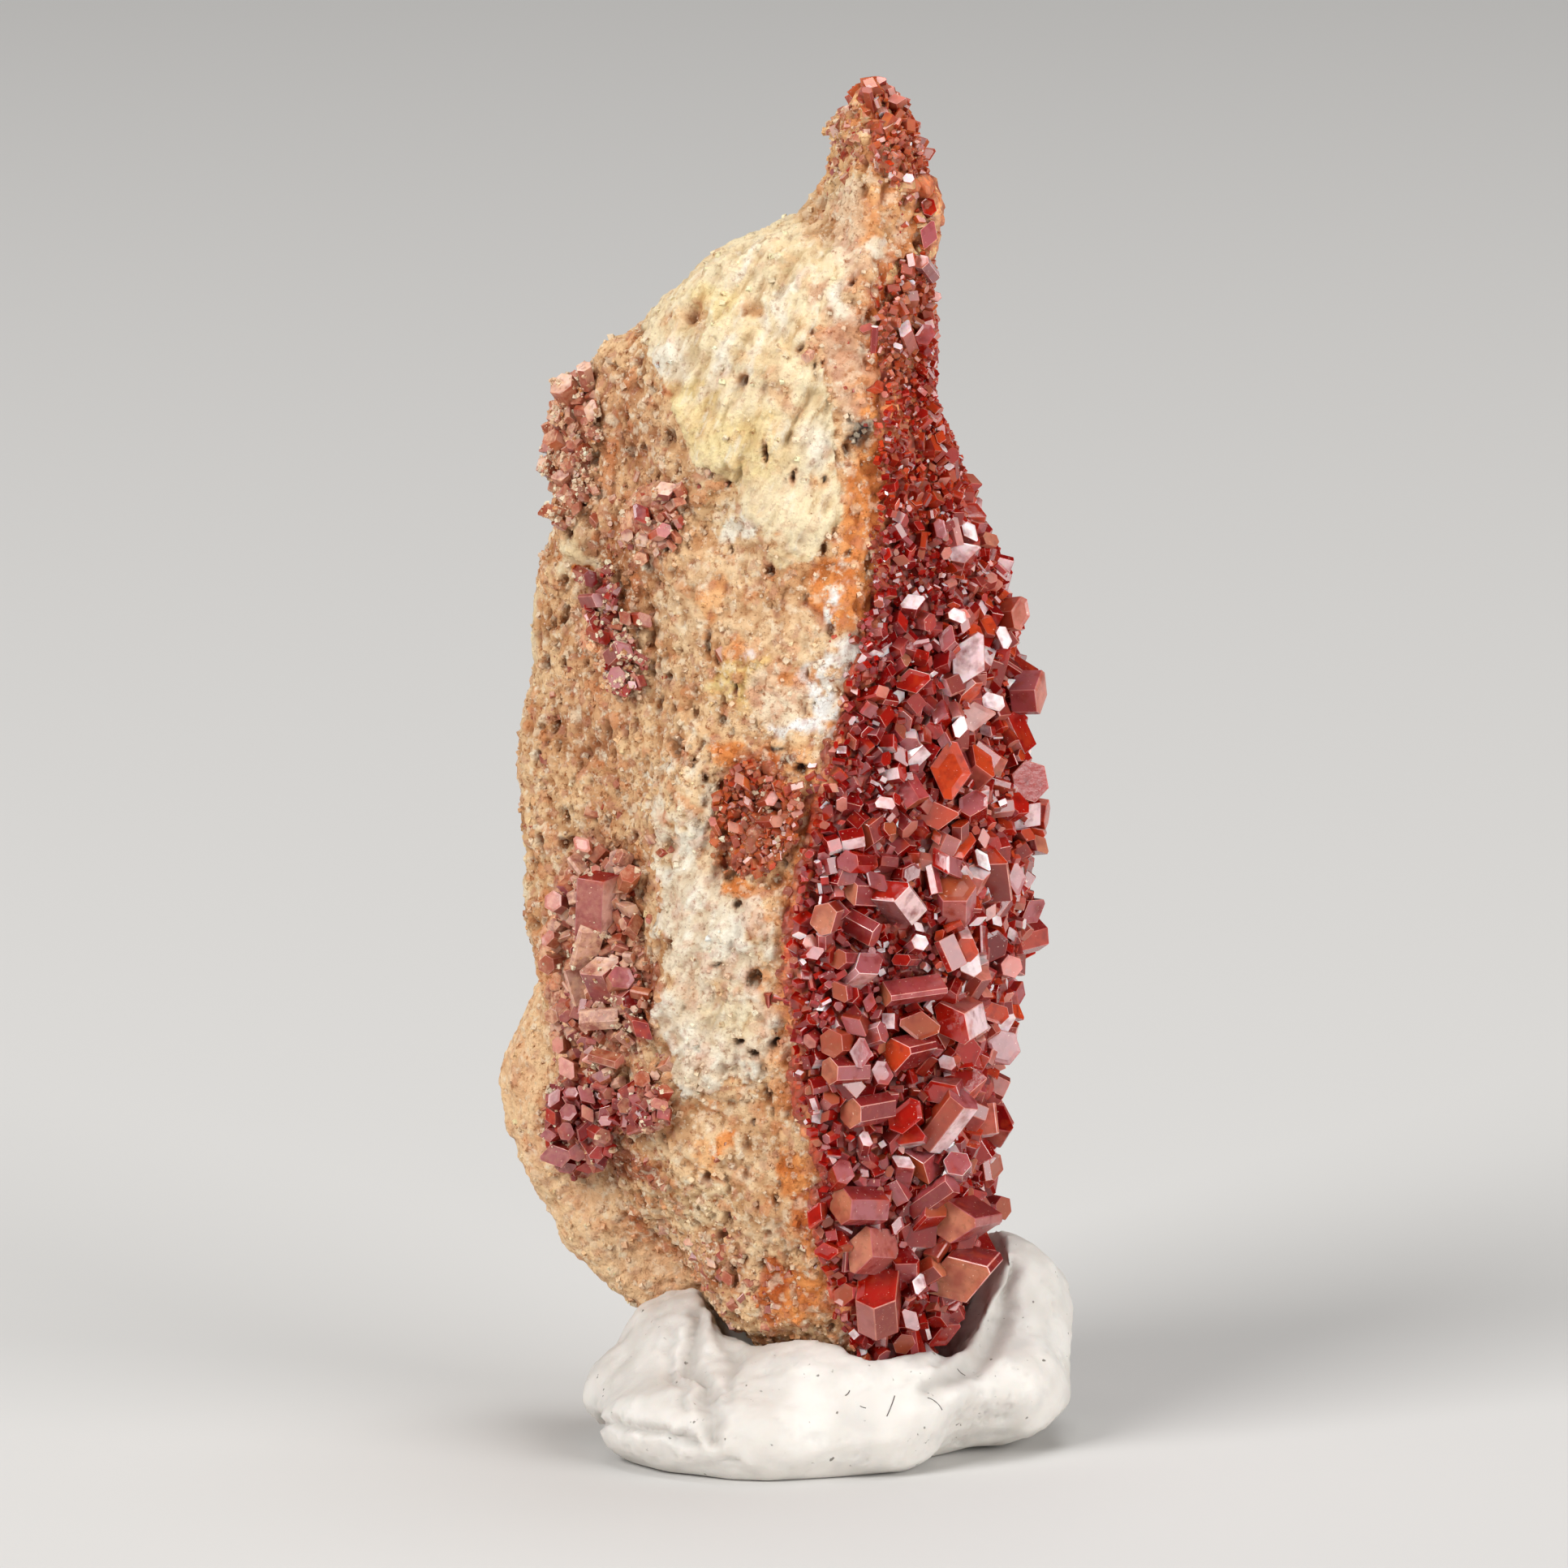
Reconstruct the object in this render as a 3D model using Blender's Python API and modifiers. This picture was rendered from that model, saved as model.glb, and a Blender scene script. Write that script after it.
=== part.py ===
"""A vanadinite specimen: a splinter of pale matrix, its right side crusted with red hexagonal prisms, whose
foot is pressed into a wad of white mineral tack. Metres, +Z up, the broken front face towards -Y. The origin
is the middle of the wad's flat underside."""

import math
import random

import bmesh
import bpy
from mathutils import Matrix, Vector, noise
from mathutils.bvhtree import BVHTree

MM = 0.001

# The clear gap left between neighbouring pieces, and how far a crust stands off the rock.
GAP = 0.3 * MM
CRUST_TOP = 0.80 * MM
# A crystal reaches this far back into its crust.
ROOT = 1.3 * MM

# Where the specimen is looked at from, and the upright plane on which front features are placed.
VIEWPOINT = Vector((-1.3, -595.9, 137.0)) * MM
FRONT_PLANE = -5.0 * MM

# Triangles kept in each piece.
ROCK_TRIANGLES = 2200
TACK_TRIANGLES = 640
DRUSE_TRIANGLES = 5000

# The host rock: plan outlines at rising heights, in millimetres. Corners run anticlockwise from above.
# Splinter: left, front left, ridge, right, back right, back left.
SPLINTER = [
    (3.6, [(-1.6, 0.0), (-0.8, -1.8), (1.8, -3.0), (3.4, -1.8), (3.0, 1.0), (-1.0, 1.0)]),
    (5.0, [(-3.0, 0.2), (-1.9, -2.9), (1.7, -4.8), (4.6, -2.6), (4.2, 2.4), (-2.2, 2.3)]),
    (7.2, [(-5.4, 0.4), (-4.2, -3.3), (1.1, -5.7), (6.0, -3.1), (5.2, 4.2), (-4.8, 3.9)]),
    (10.0, [(-7.2, 0.7), (-5.4, -3.7), (0.8, -6.3), (6.6, -3.6), (5.6, 5.4), (-6.8, 5.2)]),
    (13.2, [(-9.6, 0.9), (-6.5, -4.2), (0.4, -6.8), (6.8, -3.8), (6.0, 6.2), (-9.0, 6.2)]),
    (16.0, [(-12.0, 1.2), (-6.9, -4.7), (0.3, -7.1), (7.0, -4.0), (6.4, 6.8), (-10.4, 6.9)]),
    (20.5, [(-13.3, 1.9), (-6.9, -5.0), (0.0, -7.5), (7.0, -4.0), (6.6, 7.3), (-11.4, 7.4)]),
    (27.0, [(-14.1, 2.4), (-6.4, -5.4), (0.0, -7.7), (6.7, -3.9), (6.6, 7.6), (-12.4, 7.8)]),
    (33.0, [(-14.2, 2.5), (-5.8, -5.2), (0.7, -7.6), (6.7, -3.2), (6.6, 7.4), (-12.5, 7.8)]),
    (39.0, [(-13.2, 2.5), (-5.9, -4.8), (1.9, -7.4), (6.6, -2.8), (6.4, 6.9), (-11.8, 7.4)]),
    (45.0, [(-12.6, 2.5), (-6.5, -4.3), (2.5, -7.0), (5.7, -2.3), (5.8, 6.2), (-10.9, 6.9)]),
    (49.6, [(-12.2, 2.4), (-6.7, -3.8), (2.6, -6.7), (5.1, -2.2), (5.0, 5.5), (-10.5, 6.1)]),
    (51.2, [(-11.6, 2.2), (-6.7, -3.4), (2.6, -6.5), (5.0, -2.1), (4.9, 5.1), (-9.9, 5.6)]),
    (52.6, [(-10.4, 1.9), (-6.6, -3.0), (2.6, -6.3), (5.0, -2.0), (4.8, 4.8), (-8.8, 5.2)]),
    (53.6, [(-8.3, 1.6), (-6.3, -2.8), (2.7, -6.1), (5.0, -2.0), (4.8, 4.5), (-7.2, 4.9)]),
    (55.3, [(-6.3, 1.5), (-5.3, -2.5), (2.8, -5.8), (5.1, -1.9), (4.8, 4.1), (-5.2, 4.5)]),
    (56.9, [(-4.5, 1.3), (-3.7, -2.4), (2.9, -5.5), (5.1, -1.9), (4.8, 3.6), (-3.4, 4.0)]),
    (57.9, [(-2.0, 1.1), (-1.2, -2.4), (3.0, -5.2), (5.1, -1.8), (4.8, 3.2), (-1.2, 3.7)]),
    (58.6, [(-0.1, 0.8), (0.5, -2.8), (3.0, -5.0), (5.1, -1.8), (4.9, 2.9), (0.5, 3.4)]),
    (60.0, [(0.3, 0.6), (1.0, -2.6), (3.1, -4.6), (4.9, -1.6), (4.7, 2.5), (0.9, 3.0)]),
    (62.2, [(0.7, 0.4), (1.3, -2.3), (3.1, -4.0), (4.4, -1.6), (4.3, 1.6), (1.4, 2.2)]),
    (63.6, [(1.7, 0.0), (2.1, -2.0), (3.0, -3.1), (3.8, -1.6), (3.7, 0.4), (2.2, 1.0)]),
    (64.6, [(2.5, -1.2), (2.6, -1.9), (2.9, -2.2), (3.2, -1.7), (3.2, -0.8), (2.7, -0.5)]),
]
# Rear lobe, behind the splinter's right side: front, right, back right, back left, inside.
REAR_LOBE = [
    (5.5, [(4.0, -1.0), (4.6, 0.6), (4.2, 3.2), (2.4, 3.6), (2.0, 1.0)]),
    (8.0, [(5.6, -1.4), (6.6, 1.2), (5.8, 5.2), (2.4, 5.8), (2.0, 1.0)]),
    (11.5, [(6.6, -1.8), (7.4, 1.6), (6.8, 6.6), (2.6, 7.6), (2.0, 1.5)]),
    (16.0, [(7.2, -2.0), (8.3, 1.8), (7.6, 7.6), (3.0, 9.0), (2.0, 2.0)]),
    (21.0, [(7.4, -2.4), (8.5, 1.6), (8.0, 8.0), (3.2, 9.8), (2.0, 2.5)]),
    (25.0, [(7.4, -2.6), (9.2, 1.6), (8.8, 8.4), (3.6, 10.2), (2.0, 3.0)]),
    (30.0, [(7.2, -2.6), (9.5, 1.6), (9.1, 8.6), (4.0, 10.2), (2.0, 3.0)]),
    (35.0, [(6.6, -2.0), (9.0, 1.4), (8.7, 8.0), (4.2, 9.6), (2.2, 3.0)]),
    (39.5, [(6.0, -1.2), (9.0, 1.6), (8.6, 7.4), (4.4, 8.8), (2.4, 3.0)]),
    (41.7, [(5.6, -0.8), (7.9, 1.2), (7.7, 6.8), (4.4, 8.0), (2.6, 3.0)]),
    (44.0, [(5.2, -0.2), (6.9, 1.4), (6.8, 6.2), (4.4, 7.2), (3.0, 3.0)]),
    (47.0, [(5.0, 0.6), (6.5, 1.8), (6.5, 5.4), (4.4, 6.2), (3.4, 3.0)]),
    (48.6, [(4.8, 1.5), (5.7, 2.5), (5.7, 4.5), (4.6, 5.2), (4.0, 3.2)]),
]
# Lower bulge, behind the left side: left, front, inside, back right, back left.
LOWER_BULGE = [
    (4.6, [(-7.8, 4.0), (-6.8, 2.6), (-3.4, 2.4), (-3.0, 5.0), (-6.4, 6.0)]),
    (6.4, [(-9.9, 4.4), (-8.6, 2.6), (-4.2, 2.4), (-3.0, 5.6), (-8.2, 7.0)]),
    (10.4, [(-13.0, 5.0), (-11.4, 2.9), (-5.4, 2.4), (-2.0, 6.4), (-11.3, 8.4)]),
    (14.4, [(-15.0, 5.2), (-13.4, 2.9), (-6.0, 2.6), (-1.4, 7.2), (-13.4, 9.4)]),
    (16.4, [(-15.7, 5.2), (-14.2, 2.8), (-6.0, 2.6), (-1.4, 7.6), (-14.0, 9.6)]),
    (20.2, [(-14.2, 5.2), (-12.8, 3.0), (-6.0, 2.8), (-2.0, 7.8), (-12.8, 9.2)]),
    (24.5, [(-12.6, 5.0), (-11.4, 3.4), (-6.0, 3.4), (-4.0, 7.6), (-11.4, 8.0)]),
]

# Slabs that stand proud of the broken front face: outline as (across, up) in millimetres, then the step.
PALE_SLAB = [
    (-7.6, 54.3), (-6.5, 56.2), (-4.6, 58.2), (-0.4, 59.5), (0.6, 58.5), (0.3, 53.9), (1.1, 49.3),
    (1.5, 45.4), (0.0, 43.5), (-1.7, 43.1), (-3.8, 46.9), (-5.7, 48.3), (-6.7, 51.6),
]
WHITE_SLAB = [
    (-7.6, 33.4), (-5.0, 33.8), (-4.6, 29.9), (-1.5, 27.6), (-1.0, 24.5), (-1.1, 21.8), (-0.6, 20.3),
    (-1.5, 18.7), (-4.6, 18.1), (-6.3, 18.3), (-7.6, 22.2), (-7.4, 24.5), (-6.7, 28.0), (-7.6, 29.5),
]
SLAB_STEP = 0.5 * MM
# Hollows of the front face: across, up, half width, half height, depth in millimetres.
HOLLOWS = [
    (-2.7, 31.9, 1.5, 2.0, 1.0),
    (-2.7, 24.1, 1.3, 1.2, 1.0),
    (-10.1, 40.8, 1.2, 2.6, 1.0),
    (-4.4, 29.2, 1.0, 0.9, 0.6),
    (-4.6, 55.4, 0.8, 0.6, 0.5),
    (-2.7, 55.6, 0.8, 0.6, 0.5),
    (-3.6, 20.4, 0.7, 0.6, 0.6),
    (-1.5, 20.2, 0.7, 0.6, 0.6),
    (-5.2, 16.6, 2.4, 1.2, 0.6),
]
# Lumps of the front face, in the same order with a height in place of the depth.
LUMPS = [
    (-10.9, 44.2, 1.0, 2.6, 0.9),
    (-8.2, 12.6, 1.6, 2.2, 0.6),
]

# The druse's left edge on the front and on the back: height, across.
DRUSE_FRONT = [
    (4.6, 2.2), (6.3, 1.7), (8.3, 1.0), (10.2, 0.4), (12.1, 0.0), (14.1, 0.4), (17.9, -0.6), (21.8, -1.0),
    (25.7, -1.3), (28.4, -0.8), (31.5, 0.0), (35.3, 1.1), (39.2, 2.3), (43.1, 3.0), (46.9, 3.4),
    (50.8, 3.4), (54.7, 3.4), (58.5, 5.3), (60.5, 4.8), (62.6, 3.2), (63.2, -4.0), (70.0, -4.0),
]
DRUSE_BACK = [
    (4.6, 2.6), (6.3, 2.8), (8.3, 3.4), (10.2, 3.8), (12.1, 4.4), (14.1, 4.0), (17.9, 4.8), (21.8, 5.6),
    (25.7, 5.0), (28.4, 5.6), (31.5, 5.2), (35.3, 4.6), (39.2, 4.4), (43.1, 3.8), (46.9, 3.4),
    (50.8, 2.6), (54.7, 2.4), (58.5, 1.8), (60.5, 1.6), (62.6, 1.0), (63.2, -4.0), (70.0, -4.0),
]
DRUSE_FRONT_DEPTH = -7.0
DRUSE_BACK_DEPTH = 8.0

# Crystals seen one by one: across and up on the front plane, radius, length, then three angles: turned to
# the right, raised, and spun about its own axis.
DRUSE_CRYSTALS = [
    (6.9, 43.6, 0.76, 1.0, 10, 40, 15), (7.2, 38.7, 1.14, 1.1, 8, 12, 0), (8.4, 36.7, 0.69, 1.0, 20, 10, 10),
    (9.3, 37.3, 0.53, 0.8, 25, 20, 20), (10.4, 37.2, 0.84, 1.7, 78, 5, 5), (10.0, 33.0, 1.14, 1.3, 25, 5, 10),
    (6.5, 33.4, 1.14, 1.0, -5, 8, 25), (6.1, 36.1, 0.53, 0.8, -15, 30, 20), (6.8, 35.3, 0.50, 0.8, 20, 20, 10),
    (4.8, 37.7, 0.72, 0.9, -5, 10, 15), (4.7, 41.3, 0.53, 0.8, 10, 35, 20), (5.9, 44.9, 0.53, 0.8, 15, 10, 10),
    (7.2, 44.7, 0.50, 0.9, 30, 25, 0), (8.1, 44.3, 0.53, 0.9, 45, 20, 10), (8.8, 39.7, 0.57, 1.0, 30, 15, 20),
    (10.2, 40.9, 0.91, 1.1, 55, 10, 5), (6.6, 40.4, 0.53, 0.8, 20, 15, 5), (3.4, 31.9, 0.53, 0.8, 10, 15, 20),
    (7.6, 31.8, 0.76, 1.0, 0, 25, 0), (11.0, 29.9, 0.61, 1.2, 70, 10, 10), (10.7, 26.8, 0.76, 1.3, 65, 0, 25),
    (0.6, 26.4, 0.84, 0.9, -15, 5, 45), (2.5, 25.8, 0.72, 1.2, 62, -22, 10), (2.4, 24.0, 0.84, 1.0, 38, 35, 20),
    (3.9, 27.4, 0.84, 1.3, -28, 38, 30), (6.8, 27.5, 1.03, 1.1, 0, 45, 30), (6.3, 29.0, 0.61, 0.9, -30, 20, 10),
    (9.4, 28.2, 0.65, 1.0, 30, 8, 30), (1.9, 29.1, 0.69, 0.8, -30, 10, 15), (1.4, 24.4, 0.53, 0.7, -30, 10, 10),
    (1.4, 22.9, 0.53, 0.7, -15, 5, 10), (4.3, 24.4, 0.50, 0.7, -20, 10, 30), (4.9, 25.1, 0.53, 0.8, 30, 30, 10),
    (4.5, 22.9, 0.72, 2.4, -66, -3, 0), (5.0, 21.3, 0.91, 0.9, 8, 3, 50), (6.8, 21.5, 0.99, 1.0, -25, -5, 10),
    (4.1, 19.9, 0.99, 1.0, -40, 0, 15), (2.1, 21.3, 0.61, 0.8, -10, -10, 20), (1.1, 20.4, 0.69, 0.8, -25, 8, 10),
    (2.2, 19.9, 0.72, 0.8, 15, 20, 20), (3.0, 20.8, 0.53, 1.0, 55, 20, 0), (1.3, 19.1, 0.69, 1.2, -50, 5, 0),
    (3.2, 18.9, 0.65, 0.8, 20, 25, 20), (6.4, 19.4, 0.50, 0.7, 0, 25, 15), (6.1, 18.1, 0.99, 0.9, -10, 0, 20),
    (8.8, 20.2, 0.91, 1.2, 20, 10, 15), (8.5, 21.9, 0.76, 1.1, 15, 5, 10), (9.1, 24.1, 0.69, 1.0, 32, 8, 10),
    (2.4, 17.1, 0.88, 1.4, -48, 0, 0), (4.5, 16.8, 0.99, 0.9, -5, 20, 10), (6.5, 16.9, 0.91, 2.4, 62, 52, 10),
    (4.3, 14.5, 0.50, 0.7, 10, 45, 20), (1.4, 14.1, 0.65, 0.8, 20, 30, 10), (5.9, 13.2, 0.61, 2.0, 62, 36, 10),
    (6.9, 14.5, 0.76, 1.0, 0, 22, 20), (8.2, 14.5, 0.84, 1.2, 35, 5, 10), (8.7, 12.5, 0.69, 1.1, 45, 0, 10),
    (2.0, 12.6, 0.95, 1.5, -52, 8, 0), (6.9, 11.9, 1.30, 1.5, -30, 5, 5), (7.1, 9.3, 1.45, 1.5, -22, -12, 20),
    (2.6, 10.5, 1.03, 1.2, -34, 12, 15), (3.1, 8.3, 1.52, 1.3, -6, 55, 0), (5.0, 8.7, 0.50, 0.8, 15, 20, 10),
    (4.5, 7.1, 0.57, 0.9, 28, 10, 10), (4.3, 6.1, 0.61, 0.9, 10, -10, 20), (1.7, 8.3, 0.61, 0.7, -30, 10, 10),
]
LEFT_CRYSTALS = [
    (-10.4, 25.6, 0.76, 0.9, -20, 35, 20), (-10.6, 26.8, 0.80, 1.6, 15, 62, 10), (-9.5, 23.7, 1.03, 1.1, -18, 8, 0),
    (-9.9, 21.7, 0.57, 1.6, 62, 0, 0), (-11.0, 23.7, 0.69, 1.1, -35, 15, 0), (-11.9, 27.1, 0.57, 0.9, -30, 20, 10),
    (-12.2, 25.4, 0.46, 0.8, -35, 20, 20), (-12.2, 24.2, 0.57, 0.9, -35, 0, 10), (-10.1, 28.5, 0.42, 0.6, 0, 30, 10),
    (-10.7, 29.8, 0.53, 0.8, -20, 30, 20), (-8.6, 28.4, 0.61, 0.8, 10, 30, 10), (-8.0, 21.1, 0.53, 0.6, 10, 0, 15),
    (-10.4, 19.6, 0.38, 0.6, -10, 20, 10), (-9.4, 19.6, 0.42, 0.9, 50, -5, 0), (-11.4, 19.2, 0.61, 0.8, -25, 15, 10),
    (-12.0, 17.7, 0.46, 0.7, -30, 25, 10), (-11.0, 18.0, 0.46, 0.7, -10, 25, 30), (-10.3, 17.2, 0.42, 0.7, 5, 15, 0),
    (-12.1, 16.5, 0.42, 0.7, -40, 10, 10), (-11.3, 16.8, 0.46, 0.8, -15, 10, 20), (-10.6, 16.2, 0.46, 0.7, 5, 5, 10),
    (-11.9, 15.1, 0.76, 0.9, -25, -10, 15), (-11.0, 15.3, 0.50, 0.8, 0, -5, 10), (-10.1, 15.2, 0.46, 0.6, 15, -10, 20),
]
SHOULDER_CRYSTALS = [
    (-11.4, 51.7, 0.72, 0.9, -30, 25, 10), (-10.3, 50.5, 0.46, 0.6, -5, 10, 20), (-11.9, 50.2, 0.50, 0.6, -40, 10, 10),
    (-12.0, 49.3, 0.50, 0.7, -45, 5, 10), (-12.5, 47.9, 0.53, 0.7, -50, 0, 10), (-12.2, 45.7, 0.53, 0.7, -35, 0, 15),
]
RECESS_CRYSTALS = [
    (-10.4, 42.6, 0.46, 0.5, 20, 0, 10), (-10.0, 41.5, 0.46, 0.5, 25, 10, 20), (-10.2, 40.6, 0.38, 0.5, 10, -10, 20),
    (-8.9, 39.1, 0.50, 0.7, 20, 25, 10), (-9.1, 37.8, 0.57, 0.7, -10, 20, 45),
]
UPPER_CRYSTALS = [
    (-7.9, 45.6, 0.53, 0.6, -10, 20, 10), (-6.9, 46.7, 0.50, 0.6, 0, 30, 20), (-7.0, 44.8, 0.46, 0.6, 20, 20, 10),
    (-7.9, 44.4, 0.38, 0.5, -10, -5, 20),
]
POCKET_CRYSTALS = [
    (-3.2, 32.8, 0.34, 0.4, -10, 20, 10), (-2.4, 32.5, 0.30, 0.4, 20, 10, 20), (-3.0, 31.9, 0.34, 0.4, 0, 10, 0),
    (-2.2, 31.5, 0.30, 0.4, 20, 0, 10), (-2.9, 30.9, 0.34, 0.4, -10, 0, 20),
]
# Where each small group grows: across, up, half width, half height.
LEFT_PATCH = [(-10.3, 24.2, 2.3, 6.0), (-11.0, 16.8, 1.9, 2.7)]
SHOULDER_PATCH = [(-11.6, 49.0, 1.3, 3.8)]
RECESS_PATCH = [(-10.0, 41.0, 0.8, 2.0), (-9.0, 38.4, 1.0, 1.3)]
UPPER_PATCH = [(-7.5, 45.3, 1.2, 1.8)]
POCKET_PATCH = [(-2.7, 31.9, 1.0, 1.5)]
PATCH_DEPTH = 3.2

# The wad of tack, kneaded from lobes: centre, half sizes.
TACK_LOBES = [
    ((-0.4, 0.8, 2.2), (10.5, 7.6, 3.9)),
    ((-1.7, -3.9, 1.8), (8.8, 5.4, 2.9)),
    ((-5.2, 1.6, 4.4), (3.8, 4.6, 3.2)),
    ((8.2, 3.2, 5.2), (4.6, 4.8, 4.6)),
    ((7.4, 0.4, 2.9), (5.2, 5.2, 3.2)),
    ((1.5, -3.4, 3.4), (7.4, 4.2, 2.8)),
]


def clear_scene():
    for obj in list(bpy.data.objects):
        bpy.data.objects.remove(obj, do_unlink=True)


def make_collection(name):
    collection = bpy.data.collections.new(name)
    bpy.context.scene.collection.children.link(collection)
    return collection


def make_material(name, colour, roughness, coat=0.0):
    material = bpy.data.materials.new(name)
    material.use_nodes = True
    shader = material.node_tree.nodes["Principled BSDF"]
    shader.inputs["Base Color"].default_value = (*colour, 1.0)
    shader.inputs["Roughness"].default_value = roughness
    shader.inputs["Coat Weight"].default_value = coat
    material.diffuse_color = (*colour, 1.0)
    return material


def add_object(name, bm, collection):
    mesh = bpy.data.meshes.new(name)
    bm.to_mesh(mesh)
    bm.free()
    obj = bpy.data.objects.new(name, mesh)
    collection.objects.link(obj)
    return obj


def bake(obj):
    """Put the mesh that the modifiers make in place of the one they start from."""
    depsgraph = bpy.context.evaluated_depsgraph_get()
    mesh = bpy.data.meshes.new_from_object(obj.evaluated_get(depsgraph))
    obj.modifiers.clear()
    obj.data = mesh


def fuse(obj, voxel):
    remesh = obj.modifiers.new("fuse", "REMESH")
    remesh.mode = "VOXEL"
    remesh.voxel_size = voxel
    bake(obj)


def thin_out(obj, triangles):
    """Reduce the mesh to about this many triangles."""
    obj.data.calc_loop_triangles()
    decimate = obj.modifiers.new("thin", "DECIMATE")
    decimate.ratio = min(1.0, triangles / len(obj.data.loop_triangles))
    decimate.use_collapse_triangulate = True
    bake(obj)


def combine(obj, other, operation):
    boolean = obj.modifiers.new("combine", "BOOLEAN")
    boolean.operation = operation
    boolean.solver = "EXACT"
    boolean.use_self = True
    boolean.object = other
    bake(obj)


def loft(bm, stations):
    """A closed skin through the plan outlines."""
    rings = []
    for height, outline in stations:
        rings.append([bm.verts.new(Vector((x, y, height)) * MM) for x, y in outline])
    for lower, upper in zip(rings, rings[1:]):
        for i in range(len(lower)):
            j = (i + 1) % len(lower)
            bm.faces.new((lower[i], lower[j], upper[j], upper[i]))
    bm.faces.new(reversed(rings[0]))
    bm.faces.new(rings[-1])


def on_front_plane(point):
    """Across and up, in millimetres, where the line of sight to the point crosses the front plane."""
    reach = (FRONT_PLANE - VIEWPOINT.y) / (point.y - VIEWPOINT.y)
    seen = VIEWPOINT + (point - VIEWPOINT) * reach
    return seen.x / MM, seen.z / MM


def inside_outline(x, z, outline):
    inside = False
    for (x0, z0), (x1, z1) in zip(outline, outline[1:] + outline[:1]):
        if (z0 > z) != (z1 > z) and x < x0 + (z - z0) / (z1 - z0) * (x1 - x0):
            inside = not inside
    return inside


def bump_weight(x, z, spot):
    """1 at the middle of an oval spot, falling smoothly to 0 at its rim."""
    across, up, half_width, half_height = spot[:4]
    away = math.hypot((x - across) / half_width, (z - up) / half_height)
    return max(0.0, 1.0 - away * away) if away < 1.0 else 0.0


def front_relief(point):
    """How far the front face stands out, or sinks, at this point."""
    x, z = on_front_plane(point)
    relief = 0.0
    if inside_outline(x, z, PALE_SLAB) or inside_outline(x, z, WHITE_SLAB):
        relief += SLAB_STEP
    for spot in HOLLOWS:
        relief -= spot[4] * MM * bump_weight(x, z, spot)
    for spot in LUMPS:
        relief += spot[4] * MM * bump_weight(x, z, spot)
    return relief


def rock_relief(point):
    """The rock's unevenness: broad swells, smaller knobs and chipped facets."""
    place = point / MM
    swell = 0.50 * noise.noise(place * 0.16)
    knob = 0.40 * noise.noise(place * 0.42 + Vector((7.0, 3.0, 1.0)))
    nearest, second = noise.voronoi(place * 0.30)[0][:2]
    chip = 0.80 * (min(second - nearest, 0.5) - 0.25)
    return (swell + knob + chip) * MM


def build_rock(collection):
    bm = bmesh.new()
    loft(bm, SPLINTER)
    loft(bm, REAR_LOBE)
    loft(bm, LOWER_BULGE)
    rock = add_object("matrix_rock", bm, collection)
    fuse(rock, 0.7 * MM)
    points = [vert.co.copy() for vert in rock.data.vertices]
    normals = [vert.normal.copy() for vert in rock.data.vertices]
    for vert, point, normal in zip(rock.data.vertices, points, normals):
        shift = rock_relief(point)
        if normal.y < -0.1:
            shift += front_relief(point)
        vert.co = point + normal * shift
    fuse(rock, 0.7 * MM)
    thin_out(rock, ROCK_TRIANGLES)
    return rock


def grown(obj, distance, name, collection):
    """A copy whose skin stands off the original by this distance."""
    bm = bmesh.new()
    bm.from_mesh(obj.data)
    bm.normal_update()
    shifts = [(vert, vert.normal * min(vert.calc_shell_factor(), 1.5)) for vert in bm.verts]
    for vert, shift in shifts:
        vert.co += shift * distance
    return add_object(name, bm, collection)


def surface_tree(obj):
    bm = bmesh.new()
    bm.from_mesh(obj.data)
    tree = BVHTree.FromBMesh(bm)
    bm.free()
    return tree


def edge_at(edge, height):
    """The druse edge's place across, at this height."""
    for (low, first), (high, second) in zip(edge, edge[1:]):
        if low <= height <= high:
            return first + (second - first) * (height - low) / (high - low)
    return edge[-1][1] if height > edge[-1][0] else edge[0][1]


def in_druse(point):
    x, y, z = point / MM
    front = edge_at(DRUSE_FRONT, z)
    back = edge_at(DRUSE_BACK, z)
    share = (y - DRUSE_FRONT_DEPTH) / (DRUSE_BACK_DEPTH - DRUSE_FRONT_DEPTH)
    share = min(1.0, max(0.0, share))
    return x > front + (back - front) * share and z > DRUSE_FRONT[0][0]


def druse_block(collection):
    """A solid that holds all of the space to the right of the druse's edge."""
    bm = bmesh.new()
    rings = []
    for depth, edge in ((-13.0, DRUSE_FRONT), (-7.0, DRUSE_FRONT), (8.0, DRUSE_BACK), (14.0, DRUSE_BACK)):
        ring = [bm.verts.new(Vector((x, depth, z)) * MM) for z, x in edge]
        ring += [bm.verts.new(Vector((16.0, depth, z)) * MM) for z in (edge[-1][0], edge[0][0])]
        rings.append(ring)
    for near, far in zip(rings, rings[1:]):
        for i in range(len(near)):
            j = (i + 1) % len(near)
            bm.faces.new((near[i], near[j], far[j], far[i]))
    bm.faces.new(reversed(rings[0]))
    bm.faces.new(rings[-1])
    bmesh.ops.triangulate(bm, faces=bm.faces[:])
    bmesh.ops.recalc_face_normals(bm, faces=bm.faces[:])
    return add_object("druse_block", bm, collection)


def sight_to(x, z):
    return (Vector((x * MM, FRONT_PLANE, z * MM)) - VIEWPOINT).normalized()


def seen_point(x, z, tree):
    """The surface point met by the line of sight, or the line's nearest point when it passes by."""
    sight = sight_to(x, z)
    hit = tree.ray_cast(VIEWPOINT, sight)[0]
    if hit is None:
        passing = VIEWPOINT + sight * ((2.0 * MM - VIEWPOINT.y) / sight.y)
        nearest = tree.find_nearest(passing)[0]
        hit = VIEWPOINT + sight * (nearest - VIEWPOINT).dot(sight)
    return hit


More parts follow.
